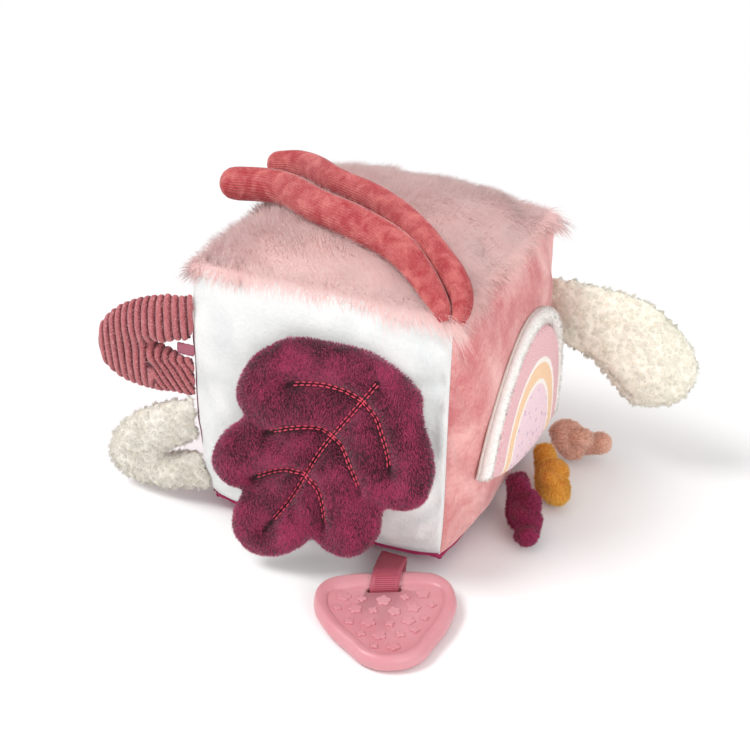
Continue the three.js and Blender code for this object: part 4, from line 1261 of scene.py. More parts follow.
class SOFTBLOCK_OT_arch(bpy.types.Operator):
    """Sew the arch patch: backing, printed middle and terry band"""

    bl_idname = "softblock.arch"
    bl_label = "Arch patch"

    def execute(self, context):
        settings = context.scene.softblock_arch
        seam = 1 - settings.border_width / settings.rise
        border = arch_sheet(settings, "arch_terry", seam + PATCH_GAP_SHARE, 1, 12, 3.4 * MM, True)
        unwrapped(border)
        lie = {"swirl": 0.5, "swirl_size": 5 * MM, "gather": 0.5, "gather_size": 1.6 * MM}
        with_pile(border, TERRY_LOCKS, TERRY_HAIR, 0.3 * MM, unruly=1.2, skin=0.9, **lie)
        deep = mixed(settings.terry, TERRY_SHADE, 0.05)
        terry = pile_material("terry", deep, settings.terry, patches=0.2, speckle=0.3)
        dressed(border, terry, "cube", "arch_border", slot="terry", fill=0.5)
        middle = arch_sheet(settings, "arch_middle", 0.0, seam - PATCH_GAP_SHARE, 48, 4 * MM, False)
        dressed(unwrapped(middle), print_material(settings), "cube", "arch_print", slot="print", fill=0.4)
        backing = settled(from_bmesh("arch_back_cloth", copy_of("arch_backing")))
        shades = tone(236, 230, 222), tone(220, 212, 204)
        cotton = velour_material("cotton", *shades, brushed=0.2, grain_size=1300.0)
        dressed(unwrapped(backing), cotton, "cube", "arch_backing", slot="cotton", fill=0.2)
        return {"FINISHED"}


# Tubes, knots and other long stuffed pieces


def round_tube(name, route, sides, ribs=0, rib_height=0.0, resolution=10, turns=0.0):
    """A closed tube along places with radii, with ribs along it if asked."""
    ring = bpy.data.curves.new(f"{name}_section", "CURVE")
    ring.dimensions = "2D"
    outline = ring.splines.new("POLY")
    outline.points.add(sides - 1)
    for i, point in enumerate(outline.points):
        angle = 2 * math.pi * i / sides
        reach = 1 + rib_height * math.cos(ribs * angle)
        point.co = (reach * math.cos(angle), reach * math.sin(angle), 0, 1)
    outline.use_cyclic_u = True
    section = bpy.data.objects.new(ring.name, ring)
    bpy.context.scene.collection.objects.link(section)

    line = bpy.data.curves.new(name, "CURVE")
    line.dimensions = "3D"
    line.resolution_u = resolution
    line.twist_mode = "MINIMUM"
    line.bevel_mode = "OBJECT"
    line.bevel_object = section
    line.use_fill_caps = True
    spline = line.splines.new("BEZIER")
    spline.bezier_points.add(len(route) - 1)
    spline.radius_interpolation = "LINEAR"
    for i, (point, (place, radius)) in enumerate(zip(spline.bezier_points, route)):
        point.co = place
        point.radius = radius
        point.handle_left_type = "AUTO"
        point.handle_right_type = "AUTO"
        point.tilt = turns * 2 * math.pi * i / (len(route) - 1)
    carrier = bpy.data.objects.new(f"{name}_line", line)
    bpy.context.scene.collection.objects.link(carrier)
    graph = bpy.context.evaluated_depsgraph_get()
    mesh = bpy.data.meshes.new_from_object(carrier.evaluated_get(graph), depsgraph=graph)
    bpy.data.objects.remove(carrier)
    bpy.data.objects.remove(section)
    form = bmesh.new()
    form.from_mesh(mesh)
    bpy.data.meshes.remove(mesh)
    bmesh.ops.remove_doubles(form, verts=form.verts, dist=0.02 * MM)
    bmesh.ops.recalc_face_normals(form, faces=form.faces)
    return from_bmesh(name, form)


def domed(route):
    """Rounds the first end of a route: the radius rises there as on a ball."""
    (start, radius), (after, _) = route[0], route[1]
    way = (after - start).normalized()
    end = []
    for share in (0.02, 0.14, 0.35, 0.65, 1.0):
        end.append((start + way * radius * share, radius * math.sqrt(1 - (1 - share) ** 2)))
    return [*end, *route[1:]]


# The tubes' centre lines on the top, in millimetres with the radius last, free end first
TOP_TUBES = {
    "top_tube_front": (
        (-88.2, -8.3, 161.6, 8.2),
        (-77.8, -7.8, 162.6, 8.4),
        (-53.4, -10.8, 166.0, 8.4),
        (-21.6, -27.9, 167.4, 8.4),
        (5.1, -37.5, 166.5, 8.4),
        (31.2, -48.2, 163.1, 7.6),
        (43.9, -56.4, 158.6, 6.6),
        (54.2, -63.9, 153.1, 5.7),
        (60.6, -68.4, 148.4, 4.6),
        (64.6, -71.8, 143.6, 3.0),
    ),
    "top_tube_rear": (
        (-80.3, 29.1, 160.1, 6.8),
        (-61.0, 27.9, 163.5, 7.2),
        (-26.8, 5.7, 166.7, 7.2),
        (3.0, -9.4, 167.4, 7.2),
        (28.4, -27.4, 165.8, 7.2),
        (47.3, -41.7, 160.7, 6.8),
        (58.5, -50.0, 155.9, 6.6),
        (65.1, -56.4, 152.0, 6.0),
        (69.6, -64.8, 148.0, 4.6),
        (70.6, -71.6, 144.0, 3.0),
    ),
}


def tube_material(settings):
    """Ribbed velour: the root colour with a painted sheen, the lighter tip colour, in brushed patches along
    the tube.
    """
    look = {"brushed": 0.5, "brushed_size": 150.0, "grain_size": 900.0, "bump": 0.7, "sheen": 0.6}
    return velour_material("tube_velour", settings.root, settings.tip, **look)


class SOFTBLOCK_OT_tubes(bpy.types.Operator):
    """Stuff the two ribbed tubes that lie on the fur"""

    bl_idname = "softblock.tubes"
    bl_label = "Top tubes"

    def execute(self, context):
        settings = context.scene.softblock_tubes
        material = tube_material(settings)
        for name, spots in TOP_TUBES.items():
            route = domed([(Vector(spot[:3]) * MM, spot[3] * MM) for spot in spots])
            rib_share = settings.rib_height / (8 * MM)
            piece = round_tube(f"{name}_velour", route, settings.ribs * 4, settings.ribs, rib_share, 14, 0.08)
            dressed(unwrapped(piece), material, name, name, slot="plush_tube", fill=0.8)
        return {"FINISHED"}


# Each knotted tube in millimetres: its sewn end, the middle of its knot and the end of its tail
KNOTS = {
    "knot_burgundy": ((81.6, -6.0, 26.5), (90, -15, 11.1), (98, -33, 7.5)),
    "knot_mustard": ((82.0, 36.0, 19.8), (94, 19, 11.1), (99, 9, 10)),
    "knot_dusty": ((81.0, 62.0, 20.0), (90, 62, 11.1), (110, 70, 12)),
}
KNOT_STRAND = 4.7 * MM
KNOT_LOOP = 2.2 * MM
STEM_RADIUS = 5.1 * MM
TAIL_RADIUS = 5.2 * MM
KNOT_OPENING = 0.55
KNOT_STEPS = 22
KNOT_FLOOR = 1.4 * MM


def knot_route(top, middle, end):
    """A stem, a strand tied in an overhand knot, and a tail, as places with radii."""
    way = (end - top).normalized()
    side = way.cross(Vector((0, 0, 1))).normalized()
    up = side.cross(way)
    route = [(top, STEM_RADIUS * 0.9), (top.lerp(middle, 0.3), STEM_RADIUS)]
    first, last = math.pi + KNOT_OPENING, 3 * math.pi - KNOT_OPENING
    for k in range(KNOT_STEPS + 1):
        t = first + (last - first) * k / KNOT_STEPS
        x = (math.sin(t) + 2 * math.sin(2 * t)) * KNOT_LOOP
        y = (math.cos(t) - 2 * math.cos(2 * t) + 0.8) * KNOT_LOOP
        z = -math.sin(3 * t) * KNOT_LOOP * 1.3
        route.append((middle + way * x + up * y + side * z, KNOT_STRAND))
    route.append((middle.lerp(end, 0.8), TAIL_RADIUS))
    route.append((end, TAIL_RADIUS * 0.95))
    return route


class SOFTBLOCK_OT_knots(bpy.types.Operator):
    """Tie the three stuffed tubes that hang under the arch"""

    bl_idname = "softblock.knots"
    bl_label = "Knots"

    def execute(self, context):
        settings = context.scene.softblock_knots
        shades = (settings.burgundy, settings.mustard, settings.dusty)
        for seed, ((name, places), shade) in enumerate(zip(KNOTS.items(), shades)):
            top, middle, end = (Vector(place) * MM for place in places)
            route = domed(list(reversed(knot_route(top, middle, end))))
            piece = round_tube(f"{name}_plush", route, 20, resolution=6)
            remeshed(piece, 0.9 * MM)
            relaxed(piece, 2)
            for vert in piece.data.vertices:
                vert.co.z = max(vert.co.z, KNOT_FLOOR)
            unwrapped(piece)
            spot_vectors(piece, "comb", [(end - top).normalized() * 0.4] * len(piece.data.vertices))
            with_pile(
                piece,
                settings.locks,
                settings.hair,
                0.25 * MM,
                seed=seed,
                swirl=0.4,
                swirl_size=9 * MM,
                gather=0.6,
                gather_size=1.7 * MM,
                unruly=0.9,
                skin=0.1,
            )
            # Darker and lighter copies of the knot's colour: the dark root is a painted shade deep in the
            # pile, the light tip a painted highlight.
            deep = [part ** 1.5 * 0.75 for part in Vector(shade)]
            light = [min(part ** 0.8 * 1.1, 1) for part in Vector(shade)]
            look = {"patches": 1.4, "patch_size": 90.0, "speckle": 1.5, "soft": 1.0, "sheen": 0.6}
            material = pile_material(f"{name}_plush", deep, light, **look)
            dressed(piece, material, name, name, slot=name, fill=0.7)
        return {"FINISHED"}


# The handles on the front left seam

HOLE_CORNER = Vector((-97, -70, 92)) * MM
HOLE_MIDDLE = Vector((-86, -70, 97)) * MM
HOLE_FILL = 5 * MM
HANDLE_DRAW = 2.5 * MM
WOOL_WIDTH = 0.32 * MM
CURLY = {"swirl": 1.0, "swirl_size": 7 * MM, "gather": 1.1, "unruly": 1.3}


def matted(piece, size, height):
    """Raises the small lumps of matted wool on a piece."""
    for vert in piece.data.vertices:
        lump = noise.noise(vert.co / size) + 0.5 * noise.noise(vert.co / size * 2.1)
        vert.co += vert.normal * lump * height
    return piece


def into_seam(piece):
    """Draws the ends of a handle a little way into the seam."""
    reach = max(vert.co.x for vert in piece.data.vertices)
    for vert in piece.data.vertices:
        vert.co.x += HANDLE_DRAW * eased(vert.co.x, reach - 2 * HANDLE_DRAW, reach)
    return piece


def wale_height(settings, place):
    """The height of the corduroy at a place: upright wales, leaning ones on the lower strand."""
    low = limited((HOLE_CORNER.z - place.z) / (6 * MM), 0, 1)
    inner = limited((place.x - HOLE_CORNER.x + 2 * MM) / (5 * MM), 0, 1)
    lean = 0.55 * (HOLE_CORNER.z - place.z) * low * inner
    phase = (place.x - lean) / settings.wale
    return 1 - abs(2 * (phase - math.floor(phase)) - 1) ** 2.6


def corduroy_material(settings):
    """Corduroy pile: light on the wales, dark between them as a painted shade of the grooves, with a woolly
    grain.
    """
    material, tree, shader = material_tree("corduroy")
    grain = tree.noise(1000.0, 4.0, Roughness=0.7)
    share = tree.math("ADD", tree.stored("wale"), tree.around(grain, 1.3))
    share = tree.math("ADD", share, tree.around(tree.noise(60.0, 2.0), 0.4))
    # Painted shade: the groove colour fills the hollows between the wales.
    shown = tree.mix(tree.ramp(share, 0.1, 1.1), solid(settings.groove), solid(settings.corduroy))
    pale = solid(mixed(settings.corduroy, WHITE, 0.3))
    shown = tree.mix(tree.ramp(grain, 0.55, 0.75), shown, pale)
    tree.finish(shader, Base_Color=shown, Normal=tree.bump(grain, 0.8, 0.8 * MM), Roughness=0.9)
    tree.finish(shader, Specular_IOR_Level=0.1, Sheen_Weight=0.3)
    return material


class SOFTBLOCK_OT_loops(bpy.types.Operator):
    """Sew the corduroy and sherpa handles and the ribbon tab into the front left seam"""

    bl_idname = "softblock.loops"
    bl_label = "Handles"

    def execute(self, context):
        settings = context.scene.softblock_loops
        corduroy = into_seam(from_bmesh("corduroy_handle", copy_of("corduroy_loop")))
        remeshed(corduroy, 1.2 * MM)
        relaxed(corduroy, 2)
        for vert in corduroy.data.vertices:
            way = HOLE_MIDDLE - vert.co
            way.y = 0
            near = 1 - eased(way.length, 12 * MM, 22 * MM)
            vert.co += vert.normal * HOLE_FILL * near * max(vert.normal.dot(way.normalized()), 0)
        relaxed(corduroy, 5)
        puffed(corduroy, 1.5, 0.01, 0.8 * MM, 0.5 * MM, 0.5 * MM)
        subdivided(corduroy, 1)
        heights = []
        for vert in corduroy.data.vertices:
            height = wale_height(settings, vert.co)
            vert.co += vert.normal * (height - 0.6) * settings.wale_height
            heights.append(height)
        spot_values(corduroy, "wale", heights)
        ribbed = corduroy_material(settings)
        unwrapped(corduroy)
        dressed(corduroy, ribbed, "corduroy_loop", "corduroy_loop", slot="corduroy", fill=0.6)

        sherpa = into_seam(from_bmesh("sherpa_handle", copy_of("sherpa_loop")))
        remeshed(sherpa, 1.2 * MM)
        relaxed(sherpa, 6)
        puffed(sherpa, 1.5, 0.01, 0.8 * MM, 0.5 * MM, 0.5 * MM)
        matted(sherpa, 4.5 * MM, 0.8 * MM)
        unwrapped(sherpa)
        with_pile(
            sherpa, settings.locks, settings.hair, WOOL_WIDTH, seed=3, gather_size=3.2 * MM, **CURLY
        )
        look = {"patches": 0.9, "patch_size": 90.0, "speckle": 0.5}
        wool = pile_material("sherpa", settings.sherpa_root, settings.sherpa, **look)
        dressed(sherpa, wool, "sherpa_loop", "sherpa_loop", slot="sherpa", fill=0.6)

        tab = into_seam(from_bmesh("seam_tab_ribbon", copy_of("seam_tab")))
        subdivided(tab, 1)
        woven = ribbon_material("tab_ribbon", settings.tab)
        dressed(unwrapped(tab), woven, "cube", "seam_tab", slot="grosgrain")
        return {"FINISHED"}


class SOFTBLOCK_OT_ear(bpy.types.Operator):
    """Stuff the sherpa ear in the right rear seam"""

    bl_idname = "softblock.ear"
    bl_label = "Ear"

    def execute(self, context):
        settings = context.scene.softblock_ear
        ear = from_bmesh("ear_sherpa", copy_of("sherpa_ear"))
        remeshed(ear, 1.6 * MM)
        relaxed(ear, 6)
        puffed(ear, 2.0, 0.02, 1.5 * MM, 0.8 * MM, 0.8 * MM)
        matted(ear, 5 * MM, 0.8 * MM)
        unwrapped(ear)
        with_pile(
            ear, settings.locks, settings.hair, WOOL_WIDTH, seed=5, gather_size=3.4 * MM, **CURLY
        )
        look = {"patches": 0.8, "patch_size": 80.0, "speckle": 0.4}
        wool = pile_material("ear_sherpa", settings.root, settings.cream, **look)
        dressed(ear, wool, "ear", "sherpa_ear", slot="sherpa_cream", fill=0.7)
        return {"FINISHED"}


# The teether and its ribbon

TEETHER_SHARES = ((0.0, 0.0), (0.5, 0.0), (0.85, 0.07), (1.0, 0.3), (0.9, 0.52), (0.62, 0.77), (0.34, 0.95))
TEETHER_TIP_SHARE = 1.0
TEETHER_TURN = math.radians(29)
TEETHER_TILT = math.radians(1.6)
TEETHER_PLACE = Vector((49.7, -102.4, 6.2)) * MM
OUTLINE_STEPS = 12
RIM_STEPS = 8
BAR_SHARE = 0.6
# Blossoms on the teether's floor: place across as a share of its half width, place along it as
# a share of its length, size as a share of the largest blossom, and petals
BLOSSOM_SHARES = (
    (-0.58, 0.26, 1, 5),
    (-0.33, 0.295, 0.65, 4),
    (-0.03, 0.325, 1, 5),
    (0.275, 0.295, 0.65, 4),
    (0.535, 0.265, 0.94, 5),
    (-0.68, 0.385, 0.59, 4),
    (-0.435, 0.405, 0.94, 5),
    (-0.19, 0.43, 0.65, 4),
    (0.1, 0.45, 0.88, 5),
    (0.375, 0.415, 0.97, 5),
    (0.635, 0.39, 0.65, 4),
    (-0.535, 0.54, 0.68, 4),
    (-0.275, 0.555, 1, 5),
    (0.015, 0.58, 0.65, 4),
    (0.275, 0.555, 0.94, 5),
    (0.505, 0.535, 0.59, 4),
    (-0.39, 0.675, 0.65, 4),
    (-0.145, 0.7, 0.94, 5),
    (0.145, 0.7, 0.7, 4),
    (0.35, 0.66, 0.65, 4),
    (-0.23, 0.81, 0.59, 4),
    (0.03, 0.825, 0.88, 5),
)
BLOSSOM_RADIUS = 3.7 * MM
PETAL_PLACE = {4: 0.56, 5: 0.6}
PETAL_SIZE = {4: 0.44, 5: 0.4}
BLUSH = (0.6, 0.2, 0.25)


def teether_frame():
    """The placement of the teether, whose own frame has its slot at the origin."""
    turn = Matrix.Rotation(TEETHER_TURN, 4, "Z") @ Matrix.Rotation(TEETHER_TILT, 4, "X")
    return Matrix.Translation(TEETHER_PLACE) @ turn


def smooth_line(name, places, resolution, closed=False):
    """The points of a smooth curve through places; a closed one is flat."""
    line = bpy.data.curves.new(name, "CURVE")
    line.dimensions = "2D" if closed else "3D"
    line.resolution_u = resolution
    spline = line.splines.new("BEZIER")
    spline.bezier_points.add(len(places) - 1)
    spline.use_cyclic_u = closed
    for point, place in zip(spline.bezier_points, places):
        point.co = place
        point.handle_left_type = "AUTO"
        point.handle_right_type = "AUTO"
    carrier = bpy.data.objects.new(name, line)
    bpy.context.scene.collection.objects.link(carrier)
    mesh = bpy.data.meshes.new_from_object(carrier)
    row = [vert.co.copy() for vert in mesh.vertices]
    bpy.data.objects.remove(carrier)
    bpy.data.meshes.remove(mesh)
    return row


def teether_outline(settings):
    """The teether's rim as a smooth closed row of places."""
    right = [(x * settings.half_width, settings.slot_inset - y * settings.length) for x, y in TEETHER_SHARES]
    tip = [(0.0, settings.slot_inset - TEETHER_TIP_SHARE * settings.length)]
    left = [(-x, y) for x, y in reversed(right[1:])]
    places = [(x, y, 0) for x, y in (*right, *tip, *left)]
    return smooth_line("teether_outline", places, OUTLINE_STEPS, closed=True)


def facing_up(face):
    """Turns a flat face so that its front is its upper side."""
    face.normal_update()
    if face.normal.z < 0:
        face.normal_flip()


def inset_face(form, face, thickness):
    """Shrinks a face, with a band of new faces round it."""
    face.normal_update()
    bmesh.ops.inset_region(
        form, faces=[face], thickness=thickness, use_boundary=True, use_even_offset=True
    )


def teether_half(settings):
    """The upper half of the teether: a rounded rim raised round a recessed middle."""
    form = bmesh.new()
    depth = form.verts.layers.float.new("depth")
    face = form.faces.new([form.verts.new(place) for place in teether_outline(settings)])
    facing_up(face)
    high = settings.thickness / 2
    low = settings.floor / 2
    width = settings.bead / 2
    reached = 0
    turns = [math.pi / 2 * k / RIM_STEPS for k in range(1, RIM_STEPS + 1)]
    profile = [(width * (1 - math.cos(turn)), high * math.sin(turn)) for turn in turns]
    profile += [(width * (1 + math.sin(turn)), low + (high - low) * math.cos(turn)) for turn in turns]
    profile += [(2 * width + 0.2 * MM, low), (2 * width + 0.8 * MM, low)]
    for x, z in profile:
        inset_face(form, face, x - reached)
        for vert in face.verts:
            vert.co.z = z
            vert[depth] = x
        reached = x
    for vert in form.verts:
        vert.co.y -= BAR_SHARE * vert[depth] * eased(vert.co.y + vert[depth], 0, settings.slot_inset)
    return form


def teether_body(settings):
    """The teether: both halves joined at the parting line, with its slot cut through."""
    form = teether_half(settings)
    bmesh.ops.mirror(form, geom=[*form.verts, *form.edges, *form.faces], axis="Z", merge_dist=0.01 * MM)
    bmesh.ops.remove_doubles(form, verts=form.verts, dist=0.01 * MM)
    bmesh.ops.recalc_face_normals(form, faces=form.faces)
    piece = from_bmesh("teether_silicone", form)
    cutter = slot_form("teether_cutter", settings.slot_length, settings.slot_width, settings.thickness * 2)
    modified(piece, "BOOLEAN", operation="DIFFERENCE", solver="EXACT", object=cutter)
    bpy.data.objects.remove(cutter)
    return piece


def slot_form(name, across, wide, deep):
    """A flat capsule, long along X, used to cut the slot."""
    form = bmesh.new()
    bmesh.ops.create_circle(form, cap_ends=True, segments=40, radius=wide / 2)
    for vert in form.verts:
        vert.co.x += math.copysign((across - wide) / 2, vert.co.x)
    bmesh.ops.translate(form, verts=form.verts, vec=(0, 0, -deep / 2))
    grown = bmesh.ops.extrude_face_region(form, geom=form.faces[:])["geom"]
    raised = [part for part in grown if isinstance(part, bmesh.types.BMVert)]
    bmesh.ops.translate(form, verts=raised, vec=(0, 0, deep))
    bmesh.ops.recalc_face_normals(form, faces=form.faces)
    return from_bmesh(name, form)


def blossoms(settings):
    """Raised blossoms with rounded petals on the teether's floor."""
    form = bmesh.new()
    for index, (across, along, size, petals) in enumerate(BLOSSOM_SHARES):
        one = bmesh.new()
        bmesh.ops.create_circle(one, cap_ends=True, segments=petals * 14, radius=1)
        turn = index * 0.7
        for vert in one.verts:
            angle = math.atan2(vert.co.y, vert.co.x)
            part = (angle + math.pi) % (2 * math.pi / petals) - math.pi / petals
            away, round_part = PETAL_PLACE[petals], PETAL_SIZE[petals]
            reach = away * math.cos(part) + math.sqrt(max(round_part**2 - (away * math.sin(part)) ** 2, 0.02))
            reach *= size * BLOSSOM_RADIUS
            vert.co = Vector((reach * math.cos(angle + turn), reach * math.sin(angle + turn), 0))
        one.faces.ensure_lookup_table()
        face = one.faces[0]
        facing_up(face)
        for inset, rise in ((0.04, 0.8), (0.1, 0.25), (0.16, 0.15), (0.2, 0.05)):
            inset_face(one, face, inset * MM)
            for vert in face.verts:
                vert.co.z += rise * MM
        place = (
            across * settings.half_width,
            settings.slot_inset - along * settings.length,
            settings.floor / 2 - 0.35 * MM,
        )
        bmesh.ops.translate(one, verts=one.verts, vec=place)
        mesh = bpy.data.meshes.new("blossom")
        one.to_mesh(mesh)
        one.free()
        form.from_mesh(mesh)
        bpy.data.meshes.remove(mesh)
    return from_bmesh("teether_blossoms", form)


def silicone_material(name, base):
    """Satin silicone with a faint bloom and fine moulding grain."""
    material, tree, shader = material_tree(name)
    cloud = tree.ramp(tree.noise(55.0, 3.0), 0.3, 0.7)
    grain = tree.noise(2400.0, 2.0)
    shown = tree.mix(cloud, solid(mixed(base, BLUSH, 0.12)), solid(mixed(base, WHITE, 0.06)))
    rough = tree.math("MULTIPLY_ADD", grain, 0.12, 0.28)
    tree.finish(shader, Base_Color=shown, Roughness=rough, Normal=tree.bump(grain, 0.08, 0.1 * MM))
    tree.finish(shader, Subsurface_Weight=0.15, Subsurface_Scale=0.5)
    tree.finish(shader, Subsurface_Radius=(0.004, 0.002, 0.002))
    return material


def ribbon_material(name, base):
    """Grosgrain: fine ribs of silky yarn, with a painted highlight along their tops and painted shade between
    them.
    """
    material, tree, shader = material_tree(name)
    yarn = tree.noise(1800.0, 2.0)
    ribs = tree.math("MULTIPLY", tree.stored("rib"), 0.8)
    share = tree.ramp(tree.math("ADD", ribs, tree.math("MULTIPLY", yarn, 0.3)), 0.15, 0.95)
    # Painted shade between the ribs and painted highlight on their tops; the paler selvedges take the light
    # colour too.
    shown = tree.mix(share, solid(mixed(base, BLACK, 0.5)), solid(mixed(base, WHITE, 0.08)))
    rough = tree.math("MULTIPLY_ADD", yarn, 0.2, 0.4)
    tree.finish(shader, Base_Color=shown, Roughness=rough, Normal=tree.bump(yarn, 0.3, 0.2 * MM))
    return material


RIBBON_SEAM = Vector((41.5, -72.0, 5.6)) * MM
RIB_PITCH = 1.0 * MM
RIBBON_STEPS = 30


def ribbon_route(settings):
    """The ribbon's middle line: from the seam over the bar, down the slot and back underneath."""
    low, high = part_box("ribbon")
    start = Vector((RIBBON_SEAM.x, high.y - 0.2 * MM, 0))
    slot = Vector((TEETHER_PLACE.x, TEETHER_PLACE.y, 0))
    reach = (slot - start).length
    bar = settings.slot_inset
    top = TEETHER_PLACE.z + settings.thickness / 2 + 0.6 * MM + settings.ribbon_thickness
    under = low.z + settings.ribbon_thickness
    stops = (
        (0, RIBBON_SEAM.z + 0.9 * MM),
        (reach - bar - settings.ribbon_thickness, top),
        (reach - bar + settings.bead / 2, top + settings.ribbon_thickness / 2),
        (reach - settings.bead / 2, top - settings.ribbon_thickness),
        (reach, TEETHER_PLACE.z),
        (reach - settings.ribbon_thickness, TEETHER_PLACE.z - settings.floor / 2 - 0.9 * MM),
        (reach - settings.bead / 2, under),
        (reach - bar, under),
        (reach / 3, under + settings.ribbon_thickness),
        (0, RIBBON_SEAM.z - 0.6 * MM),
    )
    places = []
    for along, z in stops:
        place = start.lerp(slot, along / reach)
        places.append((place.x, place.y, z))
    return smooth_line("ribbon_line", places, RIBBON_STEPS), start, reach


def evenly(route, step):
    """Places at even distances along a route."""
    places = [route[0]]
    left = step
    for before, after in zip(route, route[1:]):
        span = (after - before).length
        while span >= left:
            before = before.lerp(after, left / span)
            span -= left
            places.append(before)
            left = step
        left -= span
    return places


def ribbon_form(settings):
    """The woven ribbon, with its ribs across it."""
    route, start, reach = ribbon_route(settings)
    places = evenly(route, RIB_PITCH / 4)
    form = bmesh.new()
    layer = form.verts.layers.float.new("rib")
    edge = None
    columns = 6
    for k, place in enumerate(places):
        near = (Vector((place.x, place.y, 0)) - start).length / reach
        turn = TEETHER_TURN * min(1, near)
        across = Vector((math.cos(turn), math.sin(turn), 0)) * settings.ribbon_width / 2
        along = (places[min(k + 1, len(places) - 1)] - places[max(k - 1, 0)]).normalized()
        over = across.cross(along).normalized()
        height = 0.5 + 0.5 * math.cos(2 * math.pi * k / 4)
        if edge is None:
            row = [form.verts.new(place) for _ in range(columns + 1)]
            for first, second in zip(row, row[1:]):
                form.edges.new((first, second))
        else:
            grown = bmesh.ops.extrude_edge_only(form, edges=edge)["geom"]
            row = [part for part in grown if isinstance(part, bmesh.types.BMVert)]
        form.verts.index_update()
        for column, vert in enumerate(row):
            share = 2 * column / columns - 1
            selvedge = 1 if abs(share) > 0.9 else height
            vert.co = place + across * share - over * 0.2 * MM * (selvedge - 0.5)
            vert[layer] = selvedge
        near_row = {e for vert in row for e in vert.link_edges}
        edge = [e for e in near_row if e.verts[0] in row and e.verts[1] in row]
    bmesh.ops.recalc_face_normals(form, faces=form.faces)
    piece = from_bmesh("ribbon_grosgrain", form)
    return modified(piece, "SOLIDIFY", thickness=settings.ribbon_thickness * 0.8, offset=0)


class SOFTBLOCK_OT_teether(bpy.types.Operator):
    """Mould the silicone teether and thread its grosgrain ribbon"""

    bl_idname = "softblock.teether"
    bl_label = "Teether"

    def execute(self, context):
        settings = context.scene.softblock_teether
        silicone = silicone_material("silicone", settings.silicone)
        body = teether_body(settings)
        raised = blossoms(settings)
        for piece in (body, raised):
            piece.data.transform(teether_frame())
        dressed(body, silicone, "teether", "teether", slot="silicone")
        dressed(raised, silicone, "teether", slot="silicone")
        ribbon = ribbon_form(settings)
        woven = ribbon_material("grosgrain", settings.ribbon)
        dressed(ribbon, woven, "ribbon", "ribbon", slot="grosgrain")
        return {"FINISHED"}


FILLING_DRAW = 0.08


class SOFTBLOCK_OT_inside(bpy.types.Operator):
    """Finish what is inside the cube: the filling and the rattle"""

    bl_idname = "softblock.inside"
    bl_label = "Filling and rattle"

    def execute(self, context):
        shades = tone(246, 246, 244), tone(228, 230, 232)
        look = {"brushed": 0.8, "brushed_size": 120.0, "bump": 1.0}
        wool = velour_material("filling_fibre", *shades, **look)
        for name in ("stuffing_upper", "stuffing_lower"):
            piece = from_bmesh(f"{name}_fibre", copy_of(name))
            middle, half = block_middle()
            for vert in piece.data.vertices:
                way = vert.co - middle
                vert.co = middle + way * (1 - FILLING_DRAW * eased(way.length, 22 * MM, 50 * MM))
            dressed(unwrapped(piece), wool, "cube", name, slot="filling", fill=0.7)
        plastic, tree, shader = material_tree("capsule_plastic")
        grain = tree.noise(500.0, 3.0)
        shown = tree.mix(grain, solid(tone(214, 220, 226)), solid(tone(232, 236, 239)))
        tree.finish(shader, Base_Color=shown, Roughness=tree.math("MULTIPLY_ADD", grain, 0.2, 0.3))
        for name in ("rattle_cap_upper", "rattle_cap_lower", "rattle_ball"):
            node = frame["nodes"][name]
            node.data.materials.clear()
            node.data.materials.append(plastic)
        return {"FINISHED"}


class SOFTBLOCK_OT_stage(bpy.types.Operator):
    """Set the pale floor, the soft lamps and the camera"""

    bl_idname = "softblock.stage"
    bl_label = "Stage"

    def execute(self, context):
        settings = context.scene.softblock_stage
        set_floor(settings)
        set_lamps()
        set_camera(settings)
        context.scene.view_settings.view_transform = "Standard"
        return {"FINISHED"}


FLOOR_SIZE = 40.0
WHITE_FROM = 0.2
WHITE_AT = 0.6
TARGET = Vector((-3.04, -0.04, 63.44)) * MM


def background_light(tree, surface, shown):
    """Light that shows another background to the camera, in reflections and through glass."""
    path = tree.add("ShaderNodeLightPath").outputs
    seen = tree.math("MAXIMUM", path["Is Camera Ray"], path["Is Glossy Ray"])
    seen = tree.math("MAXIMUM", seen, path["Is Transmission Ray"])
    return tree.mix_shaders(seen, surface, shown)


def set_floor(settings):
    """A pale floor that keeps the soft shadow and turns plain white away from the toy."""
    form = bmesh.new()
    bmesh.ops.create_grid(form, x_segments=2, y_segments=2, size=FLOOR_SIZE / 2)
    floor = from_bmesh("floor", form)
    material, tree, shader = material_tree("floor_paper")
    coordinates = tree.add("ShaderNodeTexCoord").outputs["Object"]
    shade = solid(mixed(settings.floor, (0.9, 0.9, 0.9), 0.1))
    shade = tree.mix(tree.noise(30.0, 2.0), shade, solid(settings.floor))
    tree.finish(shader, Base_Color=shade, Roughness=1.0, Specular_IOR_Level=0.0)
    away = tree.ramp(tree.vector("LENGTH", coordinates, result="Value"), WHITE_FROM, WHITE_AT)
    seen = tree.add("ShaderNodeLightPath").outputs["Is Camera Ray"]
    plain = tree.add("ShaderNodeEmission", Color=(1, 1, 1, 1), Strength=1.0).outputs[0]
    faded = tree.mix_shaders(tree.math("MULTIPLY", away, seen), shader.outputs[0], plain)
    tree.feed(material.node_tree.nodes["Material Output"].inputs["Surface"], faded)
    floor.data.materials.append(material)


def lamp(name, place, size, power, target):
    """A soft square lamp aimed at a place."""
    data = bpy.data.lights.new(name, "AREA")
    data.size = size
    data.energy = power
    lit = bpy.data.objects.new(name, data)
    bpy.context.scene.collection.objects.link(lit)
    lit.location = place
    lit.rotation_euler = (target - Vector(place)).to_track_quat("-Z", "Y").to_euler()
    return lit


